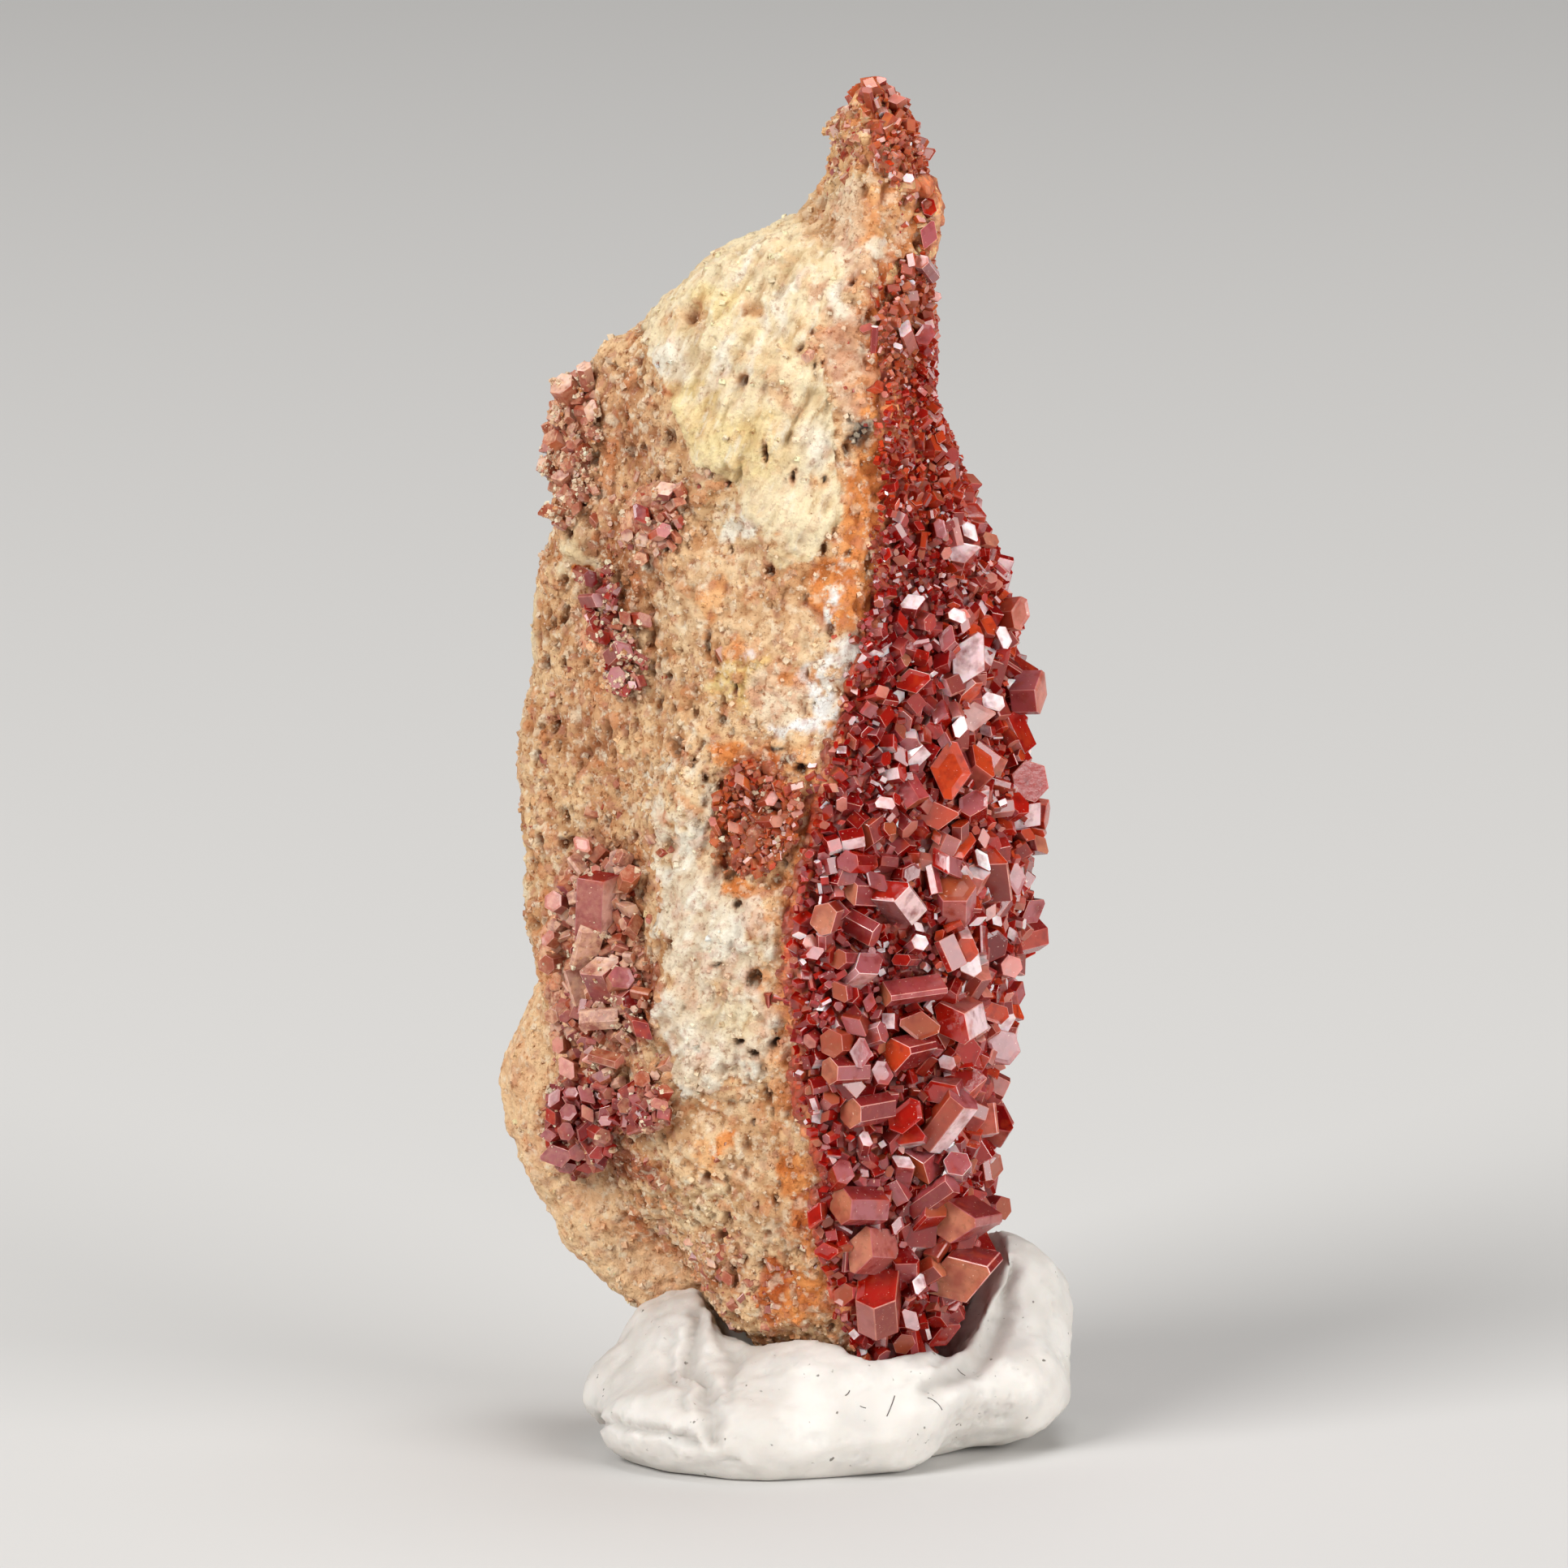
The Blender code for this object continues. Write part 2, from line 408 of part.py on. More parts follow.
def patch_block(name, patches, tree, collection):
    """Ovals round the places where a small group grows, joined in one solid."""
    bm = bmesh.new()
    for across, up, half_width, half_height in patches:
        centre = seen_point(across, up, tree)
        shape = Matrix.Diagonal((half_width * MM, PATCH_DEPTH * MM, half_height * MM, 1.0))
        bmesh.ops.create_icosphere(bm, subdivisions=2, radius=1.0, matrix=Matrix.Translation(centre) @ shape)
    return add_object(name, bm, collection)


def prism_frame(axis):
    """Turns the upright direction onto the axis, with a corner of the hexagon upwards."""
    side = Vector((0.0, 0.0, 1.0)).cross(axis)
    if side.length < 0.05:
        side = Vector((1.0, 0.0, 0.0))
    side.normalize()
    return Matrix((side, axis.cross(side), axis)).transposed().to_4x4()


def add_prism(bm, middle, axis, radius, length, spin):
    turn = prism_frame(axis) @ Matrix.Rotation(math.radians(spin), 4, "Z")
    bmesh.ops.create_cone(bm, cap_ends=True, cap_tris=False, segments=6, radius1=radius, radius2=radius,
                          depth=length, matrix=Matrix.Translation(middle) @ turn)


def axis_from(yaw, pitch):
    turn, rise = math.radians(yaw), math.radians(pitch)
    return Vector((math.sin(turn) * math.cos(rise), -math.cos(turn) * math.cos(rise), math.sin(rise)))


def add_seen_crystals(bm, rows, tree):
    """Crystals on the lines of sight through their places. Returns (middle, radius) of each."""
    placed = []
    for x, z, radius, length, yaw, pitch, spin in rows:
        axis = axis_from(yaw, pitch)
        sight = sight_to(x, z)
        facing = max(0.0, -axis.dot(sight))
        radius, length = radius * MM, length * MM
        middle = seen_point(x, z, tree) - sight * (facing * length + (1.0 - facing) * radius) / 2
        root = ROOT * facing
        add_prism(bm, middle - axis * root / 2, axis, radius, length + root, spin)
        placed.append((middle, radius))
    return placed


def crystal_radius(point, pick):
    """The size that filling crystals have at this place: fine at the top, coarse low and at the rear."""
    height = point.z / MM
    if height > 46.0:
        least, most = 0.60, 0.90
    elif height > 30.0:
        least, most = 0.85, 1.40
    else:
        least, most = 0.95, 1.60
    return pick.uniform(least, most) * MM


def random_lean(normal, pick, most):
    """A direction near the normal, leaning by up to this many degrees."""
    lean = Vector((pick.gauss(0.0, 1.0), pick.gauss(0.0, 1.0), pick.gauss(0.0, 1.0)))
    sideways = normal.cross(lean).normalized()
    return Matrix.Rotation(math.radians(pick.uniform(0.0, most)), 3, sideways) @ normal


def fill_with_crystals(bm, skin, placed, accept, tries, pick):
    """Seeded crystals on the skin wherever there is still room."""
    skin.data.calc_loop_triangles()
    verts = skin.data.vertices
    triangles = skin.data.loop_triangles
    areas = [triangle.area for triangle in triangles]
    for triangle in pick.choices(triangles, weights=areas, k=tries):
        first, second = sorted((pick.random(), pick.random()))
        a, b, c = (verts[index].co for index in triangle.vertices)
        point = a * first + b * (second - first) + c * (1.0 - second)
        radius = crystal_radius(point, pick)
        if not accept(point):
            continue
        if any((point - other).length < 1.05 * (radius + size) for other, size in placed):
            continue
        axis = random_lean(triangle.normal, pick, 55.0)
        height = radius * pick.uniform(0.5, 0.9)
        add_prism(bm, point + axis * (height - ROOT) / 2, axis, radius, height + ROOT, pick.uniform(0.0, 60.0))
        placed.append((point, radius))


def keep_largest_body(obj):
    """Drop crumbs that a Boolean cut left beside the body."""
    bm = bmesh.new()
    bm.from_mesh(obj.data)
    left = set(bm.verts)
    bodies = []
    while left:
        body = set()
        front = [left.pop()]
        while front:
            vert = front.pop()
            body.add(vert)
            for edge in vert.link_edges:
                other = edge.other_vert(vert)
                if other in left:
                    left.discard(other)
                    front.append(other)
        bodies.append(body)
    bodies.sort(key=len, reverse=True)
    crumbs = [vert for body in bodies[1:] for vert in body]
    bmesh.ops.delete(bm, geom=crumbs, context="VERTS")
    bm.to_mesh(obj.data)
    bm.free()


def build_crust(name, crystals, block, skin, clearance, triangles, collection):
    """A crust on the rock within the block, with its crystals, hollowed so that it clears the rock."""
    crust = bpy.data.objects.new(name, skin.data.copy())
    collection.objects.link(crust)
    combine(crust, block, "INTERSECT")
    combine(crust, crystals, "UNION")
    combine(crust, clearance, "DIFFERENCE")
    keep_largest_body(crust)
    thin_out(crust, triangles)
    return crust


def build_main_druse(skin, tree, clearance, parts, helpers):
    pick = random.Random(4)
    bm = bmesh.new()
    placed = add_seen_crystals(bm, DRUSE_CRYSTALS, tree)
    fill_with_crystals(bm, skin, placed, in_druse, 2500, pick)
    crystals = add_object("druse_crystals", bm, helpers)
    block = druse_block(helpers)
    return build_crust("vanadinite_main_druse", crystals, block, skin, clearance, DRUSE_TRIANGLES, parts)


def build_group(name, rows, patches, triangles, skin, tree, clearance, parts, helpers):
    bm = bmesh.new()
    add_seen_crystals(bm, rows, tree)
    crystals = add_object(name + "_crystals", bm, helpers)
    block = patch_block(name + "_block", patches, tree, helpers)
    return build_crust(name, crystals, block, skin, clearance, triangles, parts)


def knead(point):
    place = point / MM
    return (0.30 * noise.noise(place * 0.22) + 0.14 * noise.noise(place * 0.6)) * MM


def lower_hull(obj, top, name, collection):
    """The convex hull of the part of a piece that lies below this height."""
    bm = bmesh.new()
    for vert in obj.data.vertices:
        if vert.co.z < top:
            bm.verts.new(vert.co)
    result = bmesh.ops.convex_hull(bm, input=bm.verts[:])
    loose = set(result["geom_interior"]) | set(result["geom_unused"])
    bmesh.ops.delete(bm, geom=[item for item in loose if isinstance(item, bmesh.types.BMVert)], context="VERTS")
    bmesh.ops.recalc_face_normals(bm, faces=bm.faces[:])
    return add_object(name, bm, collection)


def build_tack(clearance, druse, parts, helpers):
    bm = bmesh.new()
    for centre, half_sizes in TACK_LOBES:
        shape = Matrix.Diagonal((*half_sizes, 1.0))
        place = Matrix.Translation(Vector(centre))
        bmesh.ops.create_icosphere(bm, subdivisions=4, radius=1.0, matrix=Matrix.Scale(MM, 4) @ place @ shape)
    tack = add_object("mineral_tack", bm, parts)
    fuse(tack, 0.6 * MM)
    smooth = tack.modifiers.new("knead", "SMOOTH")
    smooth.factor = 0.5
    smooth.iterations = 8
    bake(tack)
    shifts = [(vert, vert.normal * knead(vert.co)) for vert in tack.data.vertices]
    for vert, shift in shifts:
        vert.co += shift
    thin_out(tack, TACK_TRIANGLES)
    bm = bmesh.new()
    bm.from_mesh(tack.data)
    cut = bmesh.ops.bisect_plane(bm, geom=bm.verts[:] + bm.edges[:] + bm.faces[:], plane_co=(0.0, 0.0, 0.0),
                                 plane_no=(0.0, 0.0, -1.0), clear_outer=True)
    rim = [item for item in cut["geom_cut"] if isinstance(item, bmesh.types.BMEdge)]
    bmesh.ops.contextual_create(bm, geom=rim)
    bmesh.ops.recalc_face_normals(bm, faces=bm.faces[:])
    bm.to_mesh(tack.data)
    bm.free()
    combine(tack, clearance, "DIFFERENCE")
    hull = lower_hull(druse, 10.5 * MM, "druse_foot", helpers)
    spared = grown(hull, GAP, "druse_foot_clearance", helpers)
    combine(tack, spared, "DIFFERENCE")
    keep_largest_body(tack)
    return tack


def main():
    clear_scene()
    parts = make_collection("vanadinite_specimen")
    helpers = make_collection("cutters")
    helpers.hide_render = True
    stone = make_material("pale_matrix", (0.72, 0.60, 0.43), 0.9)
    mineral = make_material("vanadinite", (0.48, 0.07, 0.03), 0.25, 0.5)
    putty = make_material("white_tack", (0.82, 0.80, 0.76), 0.7)

    rock = build_rock(parts)
    rock.data.materials.append(stone)
    clearance = grown(rock, GAP, "rock_clearance", helpers)
    skin = grown(rock, CRUST_TOP, "crust_skin", helpers)
    tree = surface_tree(skin)

    druse = build_main_druse(skin, tree, clearance, parts, helpers)
    groups = [
        ("vanadinite_left_group", LEFT_CRYSTALS, LEFT_PATCH, 760),
        ("vanadinite_shoulder_group", SHOULDER_CRYSTALS, SHOULDER_PATCH, 240),
        ("vanadinite_recess_group", RECESS_CRYSTALS, RECESS_PATCH, 260),
        ("vanadinite_upper_group", UPPER_CRYSTALS, UPPER_PATCH, 180),
        ("vanadinite_pocket_druse", POCKET_CRYSTALS, POCKET_PATCH, 180),
    ]
    crusts = [druse]
    for name, rows, patches, triangles in groups:
        crusts.append(build_group(name, rows, patches, triangles, skin, tree, clearance, parts, helpers))
    for crust in crusts:
        crust.data.materials.clear()
        crust.data.materials.append(mineral)

    tack = build_tack(clearance, druse, parts, helpers)
    tack.data.materials.clear()
    tack.data.materials.append(putty)
    for helper in helpers.objects:
        helper.hide_render = True
        helper.display_type = "WIRE"


main()
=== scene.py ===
import itertools
import math
from collections import namedtuple
from functools import partial

import bmesh
import bpy
import numpy as np
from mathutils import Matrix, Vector
from mathutils.bvhtree import BVHTree


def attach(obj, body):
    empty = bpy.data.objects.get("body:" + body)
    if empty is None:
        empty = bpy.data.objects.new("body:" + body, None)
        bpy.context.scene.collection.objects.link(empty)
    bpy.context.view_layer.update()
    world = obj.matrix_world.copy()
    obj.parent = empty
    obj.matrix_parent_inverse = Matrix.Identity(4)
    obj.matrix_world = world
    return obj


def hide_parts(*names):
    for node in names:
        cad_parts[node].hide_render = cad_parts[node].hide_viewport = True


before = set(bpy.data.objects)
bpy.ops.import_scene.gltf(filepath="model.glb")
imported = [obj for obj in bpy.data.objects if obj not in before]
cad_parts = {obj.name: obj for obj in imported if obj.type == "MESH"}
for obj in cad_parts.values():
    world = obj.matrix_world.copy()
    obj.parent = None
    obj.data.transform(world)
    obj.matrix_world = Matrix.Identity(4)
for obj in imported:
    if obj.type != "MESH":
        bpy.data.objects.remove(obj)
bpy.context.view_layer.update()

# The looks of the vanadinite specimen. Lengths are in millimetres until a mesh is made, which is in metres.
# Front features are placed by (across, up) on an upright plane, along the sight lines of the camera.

MM = 0.001

# The camera: it looks down by 10 degrees from 600 mm away, and its picture is 73.6 mm wide at the specimen.
VIEWPOINT = Vector((-1.3, -595.9, 137.0))
TARGET = Vector((-1.3, -5.0, 32.8))
PICTURE_WIDTH = 73.6
SENSOR_WIDTH = 36.0
FRONT_PLANE = -5.0

# How far a crust stands off the rock, and how far a crystal reaches back into it, at most and at a thin edge.
CRUST_TOP = 0.80
ROOT = 1.3
THIN = 0.3
# How near corners of the CAD rock are to be one, and how far at most one moves when its faces move by 1.
WELD = 0.001
MOST_SHELL = 1.5
# Mesh pitches of the tack and of the rock, which is split down to a third of its pitch where it is bare.
TACK_PITCH = 0.26
ROCK_PITCH = 0.41
# The upright plane where the rock is cut into a front and a back piece, and the height that the tack hides.
SEAM = 2.0
TACK_LINE = 3.5
# The slabs' streaks lean to the right by this many degrees.
STREAK_TILT = 24.0

# How far the stone's swellings, crumbs, grit, slab ridges, flakes and bare places stand out, and how far off
# its own seed a crumb is level with the surface, in units of its size.
BROAD_RISE = 0.16
BROKEN_RISE = 0.12
CRUMB_RISE = 0.30
CRUMB_STEP = 0.10
GRIT_RISE = 0.16
UPPER_RIDGE_RISE = 0.17
LOWER_RIDGE_RISE = 0.12
FLAKE_RISE = 0.16
BARE_RISE = 0.75
LEVEL = 0.45
# How far the grains of a crust's skin stand out, how deep its rim starts and how far its back is sunk in.
SKIN_GRAIN = 0.50
SKIN_RIM = 0.15
SKIN_BACK = 0.5

# How many places on a mesh are tried for grains and crystals, and the most grains and specks that are kept.
GRAIN_TRIES = 60000
SPECK_TRIES = 30000
DRUSE_TRIES = 40000
STREWN_TRIES = 30000
HORN_TRIES = 120000
GRAIN_COUNT = 8000
SPECK_COUNT = 4500
# How many places are tried for each grain of sand on the crystals.
DUST_TRIES = 20

# Seeds of the random draws.
GRAIN_SEED = 31
DRUSE_SEED = 5
HERO_SEED = 6
CRUST_SEED = 301
HORN_SEED = 83
STREWN_SEED = 77
LEFT_SEED = 500
UPPER_LEFT_SEED = 550
POCKET_SEED = 600

# How much room grains and crystals keep: the least distance of neighbours, over the sum of their radii.
GRAIN_ROOM = 0.7
DRUSE_ROOM = 0.64
SPECK_ROOM = 0.8
GROUP_ROOM = 0.62
STREWN_ROOM = 0.8
HORN_ROOM = 1.1

# The sides of a prism, and the share of prisms that look like a box.
HEXAGON = 6
BOXY_SHARE = 0.5
# Crystals from these radii up have a rimmed end, and bevelled edges.
RIM_RADIUS = 0.24
BEVEL_RADIUS = 0.50
# How far a crystal and a grain may lean off the surface's normal, in degrees.
CRYSTAL_LEAN = 85.0
GRAIN_LEAN = 90.0
# How far a side is from the axis, as a share of its usual distance. Two opposite sides are then set off by a
# share of their neighbours' distances: a high one makes them narrow, as on a box, and a low one wide.
SIDE_SHARES = (0.80, 1.08)
BOXY_SHARES = (0.74, 0.92)
OTHER_SHARES = (0.30, 0.52)
BOXY_SCALE = 0.86
# How wide bevels and rims are, and how deep or high the middle of an end may be, as shares of the radius.
BEVEL_WIDTH = 0.03
RIM_WIDTH = 0.04
DISH_DEPTHS = (-0.07, 0.04)
# How wide that middle may be, as a share of the whole end.
DISH_WIDTHS = (0.5, 0.75)
# How long a filling crystal is, in radii, and the share of its length that is sunk in.
LENGTHS = (1.3, 2.6)
SUNK_SHARES = (0.42, 0.70)
# How much darker or brighter than its tint a face may be, and how strongly the painted highlight on edges and
# rims shows.
TINT_SPREAD = (0.75, 1.2)
GLINTS = [0.1, 0.3, 0.7]


def shade(red, green, blue):
    """Linear light from a colour as it looks on a screen, 0 to 255."""
    return tuple(((value / 255 + 0.055) / 1.055) ** 2.4 for value in (red, green, blue))


# How a kind of matrix looks: two colours that it is mottled with, how grainy and how pitted it is, and how
# many tiny crystals are sprinkled on it.
Look = namedtuple("Look", "colour mottle grain pits sprinkle")
SAND = Look(shade(246, 206, 158), shade(200, 132, 78), 1.0, 1.0, 0.2)
PEACH = Look(shade(255, 216, 168), shade(242, 186, 138), 0.65, 0.2, 0.0)
DUSTED = Look(shade(236, 186, 138), shade(164, 92, 50), 1.0, 1.0, 0.6)
CREAM = Look(shade(253, 234, 194), shade(238, 204, 152), 0.35, 0.20, 0.0)
YELLOW = Look(shade(253, 230, 172), shade(240, 204, 138), 0.35, 0.20, 0.0)
WHITE = Look(shade(255, 246, 226), shade(248, 220, 182), 0.60, 0.25, 0.0)
GOLD = Look(shade(252, 226, 162), shade(236, 188, 110), 0.9, 0.3, 0.0)
SHELL = Look(shade(253, 228, 194), shade(234, 182, 138), 0.9, 0.2, 0.0)
POWDER = Look(shade(255, 253, 248), shade(252, 240, 222), 0.7, 0.1, 0.0)
BEIGE = Look(shade(246, 216, 172), shade(200, 146, 92), 1.0, 0.6, 0.1)
BUFF = Look(shade(246, 212, 168), shade(204, 142, 88), 0.8, 0.4, 0.1)
PINK = Look(shade(232, 188, 154), shade(196, 138, 102), 0.6, 0.3, 0.1)
APRICOT = Look(shade(250, 196, 140), shade(226, 140, 78), 0.8, 0.4, 0.2)
OCHRE = Look(shade(246, 164, 96), shade(212, 112, 46), 0.8, 0.3, 0.3)
HORN_SAND = Look(shade(242, 198, 146), shade(198, 134, 80), 1.0, 0.9, 0.8)
RUST = Look(shade(214, 118, 60), shade(176, 68, 26), 0.9, 0.5, 0.7)
WINE = Look(shade(192, 122, 86), shade(146, 68, 44), 1.0, 0.6, 0.7)
BROWN = Look(shade(112, 76, 50), shade(70, 44, 30), 0.8, 0.8, 0.1)
SOOT = Look(shade(66, 56, 52), shade(24, 22, 26), 0.6, 0.2, 0.0)
# Tones of the grains: painted shade on pit floors, pale painted highlights on tops and pale grains, grains of
# other colours.
PIT_SHADE = shade(112, 56, 24)
PALE_GRAIN_AND_TOP_HIGHLIGHT = shade(255, 236, 206)
# Painted shade on the floors of narrow holes.
PORE_SHADE = shade(60, 34, 22)
RUSTY_GRAIN = shade(214, 112, 52)
ROSY_GRAIN = shade(196, 128, 108)
# The skin that the druse grows on, deep red low down and rusty at the top, each with its mottling.
DEEP_CRUST = (shade(120, 5, 3), shade(170, 36, 16))
RUSTY_CRUST = (shade(180, 66, 26), shade(232, 150, 92))
BROWN_CRUST = (shade(160, 74, 32), shade(226, 144, 84))
HORN_CRUST = (shade(196, 108, 58), shade(240, 188, 134))
DUSTY_CRUST = (shade(190, 120, 82), shade(228, 176, 132))

# Slabs of paler stone that stand proud of the broken face: outline as (across, up).
PALE_SLAB = [
    (-8.0, 54.3), (-7.2, 57.2), (-5.0, 60.0), (-1.4, 62.0), (1.0, 61.6), (1.0, 58.5), (0.3, 53.9),
    (1.1, 49.3), (1.5, 45.4), (0.0, 43.5), (-1.7, 43.1), (-3.8, 46.9), (-5.7, 48.3), (-6.7, 51.6),
]
WHITE_SLAB = [
    (-7.6, 33.4), (-5.0, 33.8), (-4.6, 29.9), (-1.5, 27.6), (-1.0, 24.5), (-1.1, 21.8), (-0.6, 20.3),
    (-1.5, 18.7), (-4.6, 18.1), (-6.3, 18.3), (-7.6, 22.2), (-7.4, 24.5), (-6.7, 28.0), (-7.6, 29.5),
]
# Patches of the matrix, later ones over earlier: across, up, half width, half height, tilt, look.
PATCHES = [
    (-10.3, 50.0, 3.2, 3.7, 0, DUSTED),
    (-8.6, 44.5, 2.2, 3.4, 10, DUSTED),
    (-10.2, 36.5, 2.0, 3.0, 0, DUSTED),
    (-10.7, 43.4, 0.9, 1.6, 0, CREAM),
    (-10.9, 42.6, 0.5, 0.6, 0, OCHRE),
    (0.5, 57.4, 1.5, 2.9, 0, CREAM),
    (1.6, 62.8, 2.2, 3.2, 0, HORN_SAND),
    (1.3, 59.4, 1.3, 2.0, 10, SHELL),
    (3.8, 59.4, 1.8, 2.3, 0, APRICOT),
    (4.6, 59.2, 0.9, 0.7, 0, WHITE),
    (3.2, 58.2, 0.9, 0.5, 20, WHITE),
    (2.2, 53.9, 1.5, 4.6, 0, PINK),
    (1.7, 55.2, 0.6, 1.4, -30, WHITE),
    (2.6, 56.4, 1.2, 1.0, 0, BUFF),
    (3.8, 53.9, 1.2, 4.3, 0, RUST),
    (3.0, 48.5, 1.1, 3.5, 0, OCHRE),
    (2.3, 49.8, 0.5, 0.8, 0, SOOT),
    (2.9, 44.6, 1.6, 4.3, 0, OCHRE),
    (1.5, 42.3, 1.9, 1.7, 0, OCHRE),
    (-0.2, 40.9, 0.9, 1.1, 0, RUST),
    (-3.8, 46.2, 2.1, 1.9, 0, BEIGE),
    (-3.0, 45.2, 0.5, 1.2, 20, WHITE),
    (-4.0, 44.9, 0.4, 0.9, 10, WHITE),
    (-2.5, 43.5, 1.5, 1.2, 0, BUFF),
    (-5.0, 41.5, 2.3, 2.3, 0, BUFF),
    (-1.9, 39.6, 3.0, 2.7, 0, BUFF),
    (-4.4, 41.9, 0.8, 1.0, 0, APRICOT),
    (-3.3, 37.6, 1.5, 1.6, 0, GOLD),
    (-3.8, 39.2, 0.8, 0.9, 0, APRICOT),
    (-1.5, 36.9, 2.0, 1.5, 0, SHELL),
    (-0.6, 37.6, 1.0, 0.6, 0, APRICOT),
    (-4.1, 34.2, 0.7, 0.7, 0, OCHRE),
    (-2.5, 31.5, 2.3, 3.1, 0, RUST),
    (-0.6, 33.2, 1.1, 1.2, 0, APRICOT),
    (-0.0, 30.7, 0.8, 1.5, 0, APRICOT),
    (-5.0, 26.0, 2.6, 8.0, 0, BEIGE),
    (-4.2, 29.0, 0.7, 0.9, 0, BROWN),
    (-3.6, 27.8, 1.0, 0.6, 0, OCHRE),
    (-1.7, 23.3, 1.0, 2.0, 0, BUFF),
    (-1.0, 19.9, 0.9, 2.3, 0, APRICOT),
    (-5.0, 16.4, 3.4, 1.7, 0, BUFF),
    (-4.6, 14.8, 0.8, 1.2, 0, APRICOT),
    (-3.8, 15.6, 0.5, 1.1, 20, OCHRE),
    (-4.4, 14.1, 0.3, 0.3, 0, RUST),
    (-5.3, 12.9, 2.3, 1.4, 0, BEIGE),
    (-2.9, 14.5, 1.3, 1.5, 0, BUFF),
    (-1.1, 14.1, 1.0, 1.5, 0, OCHRE),
    (-2.7, 11.0, 2.3, 1.5, -35, BUFF),
    (-4.6, 9.8, 1.9, 1.9, 0, DUSTED),
    (-1.9, 8.3, 0.8, 2.0, 0, RUST),
    (-0.4, 8.3, 1.0, 1.9, 0, OCHRE),
    (-0.0, 12.1, 1.1, 1.5, 0, RUST),
    (-10.1, 26.4, 2.3, 4.3, 0, WINE),
    (-8.6, 22.9, 1.2, 3.0, 0, WINE),
    (-10.7, 16.8, 2.3, 2.3, 0, WINE),
    (-8.0, 17.2, 2.1, 1.5, 0, DUSTED),
    (-8.8, 14.5, 2.3, 1.0, 25, WINE),
    (-7.6, 10.2, 1.0, 2.7, -35, RUST),
]
# Places under white powder: across, up, half width, half height, tilt.
POWDER_SPOTS = [
    (1.3, 42.4, 0.25, 0.9, -20), (0.8, 41.2, 0.25, 0.6, 10), (1.5, 39.0, 1.0, 1.2, -35),
    (0.4, 38.1, 0.9, 0.8, -20), (0.9, 36.4, 0.6, 1.5, 5), (-0.5, 35.2, 1.6, 0.5, -8),
    (-2.9, 38.8, 0.4, 0.4, 0),
]
# The two slabs' own looks, with the places that are tinted otherwise.
SLAB_PATCHES = [
    (0.8, 61.6, 2.2, 1.6, 0, HORN_SAND),
    (0.6, 59.6, 1.3, 1.2, 0, BUFF),
    (-3.6, 48.8, 2.2, 2.0, 0, YELLOW),
    (-5.5, 50.6, 1.3, 2.2, 0, YELLOW),
    (-4.8, 55.6, 1.6, 0.8, 30, YELLOW),
    (-6.5, 53.0, 1.3, 1.2, 30, WHITE),
    (-4.6, 52.4, 0.35, 2.4, 28, WHITE),
    (-2.6, 53.4, 0.30, 2.6, 26, WHITE),
    (-0.9, 55.4, 0.35, 2.0, 20, WHITE),
    (-3.2, 57.2, 0.30, 1.6, 34, WHITE),
    (0.7, 56.2, 0.4, 1.0, 25, PINK),
    (-1.4, 51.6, 0.8, 1.5, -10, BUFF),
    (-2.6, 55.2, 0.7, 0.7, 0, BUFF),
    (-5.5, 55.0, 0.7, 0.6, 0, BUFF),
    (0.2, 48.5, 0.9, 1.7, 0, WHITE),
    (-0.3, 45.0, 1.1, 1.2, 0, CREAM),
    (-4.0, 21.6, 1.6, 0.9, 0, CREAM),
    (-1.9, 19.4, 0.9, 0.8, 0, APRICOT),
    (-4.6, 29.0, 0.8, 1.0, 20, BUFF),
]
# Holes and dents: across, up, half width, half height, depth.
PORES = [
    (-3.26, 51.86, 0.22, 0.30, 1.0), (-2.15, 48.5, 0.12, 0.50, 0.5), (-0.85, 47.4, 0.12, 0.30, 0.4),
    (0.68, 47.3, 0.16, 0.18, 0.4), (-4.1, 46.9, 0.12, 0.12, 0.3), (0.4, 52.8, 0.12, 0.12, 0.3),
    (1.9, 56.6, 0.15, 0.15, 0.3), (-3.7, 37.3, 0.10, 0.40, 0.4), (-4.9, 39.5, 0.14, 0.60, 0.4),
    (-2.0, 42.9, 0.24, 0.32, 0.6), (-2.7, 23.5, 0.40, 0.50, 0.6), (-4.6, 24.1, 0.22, 0.13, 0.4),
    (-4.1, 29.15, 0.35, 0.55, 0.7), (-3.5, 27.1, 0.18, 0.20, 0.3), (-3.5, 20.4, 0.26, 0.20, 0.6),
    (-1.75, 20.4, 0.26, 0.20, 0.6), (-2.7, 19.9, 0.26, 0.20, 0.7), (-2.7, 16.7, 0.13, 0.13, 0.4),
    (-6.4, 34.6, 0.35, 0.50, 0.6), (-0.6, 33.5, 0.24, 0.24, 0.4), (4.4, 58.2, 0.14, 0.40, 0.6),
]
DENTS = [
    (-3.6, 53.2, 0.45, 0.40, 0.25), (-2.6, 55.3, 0.60, 0.55, 0.45), (-5.4, 55.1, 0.55, 0.50, 0.35),
    (-1.1, 53.6, 0.30, 0.90, 0.25), (-3.9, 47.0, 1.2, 0.9, 0.5), (-4.0, 18.9, 0.8, 0.6, 0.4),
]
# Holes at least this wide get a brown floor of painted shade, and narrower ones a darker painted shade.
WIDE_PORE = 0.30
# Specks of soot: across, up, half width, half height.
SPECKS = [
    (1.72, 43.8, 0.22, 0.18), (-1.1, 34.0, 0.34, 0.28), (-0.55, 33.5, 0.36, 0.34), (-1.8, 34.5, 0.60, 0.16),
    (1.9, 56.6, 0.15, 0.15),
]
# Places on the horn and on the right edge where the stone is bare: across, up, half width, half height.
BARE_SPOTS = [
    (0.2, 63.2, 2.8, 3.6), (3.9, 59.4, 1.6, 2.1), (6.5, 61.6, 0.6, 2.6), (6.8, 57.4, 0.5, 2.4),
    (9.1, 18.2, 0.8, 2.4),
]

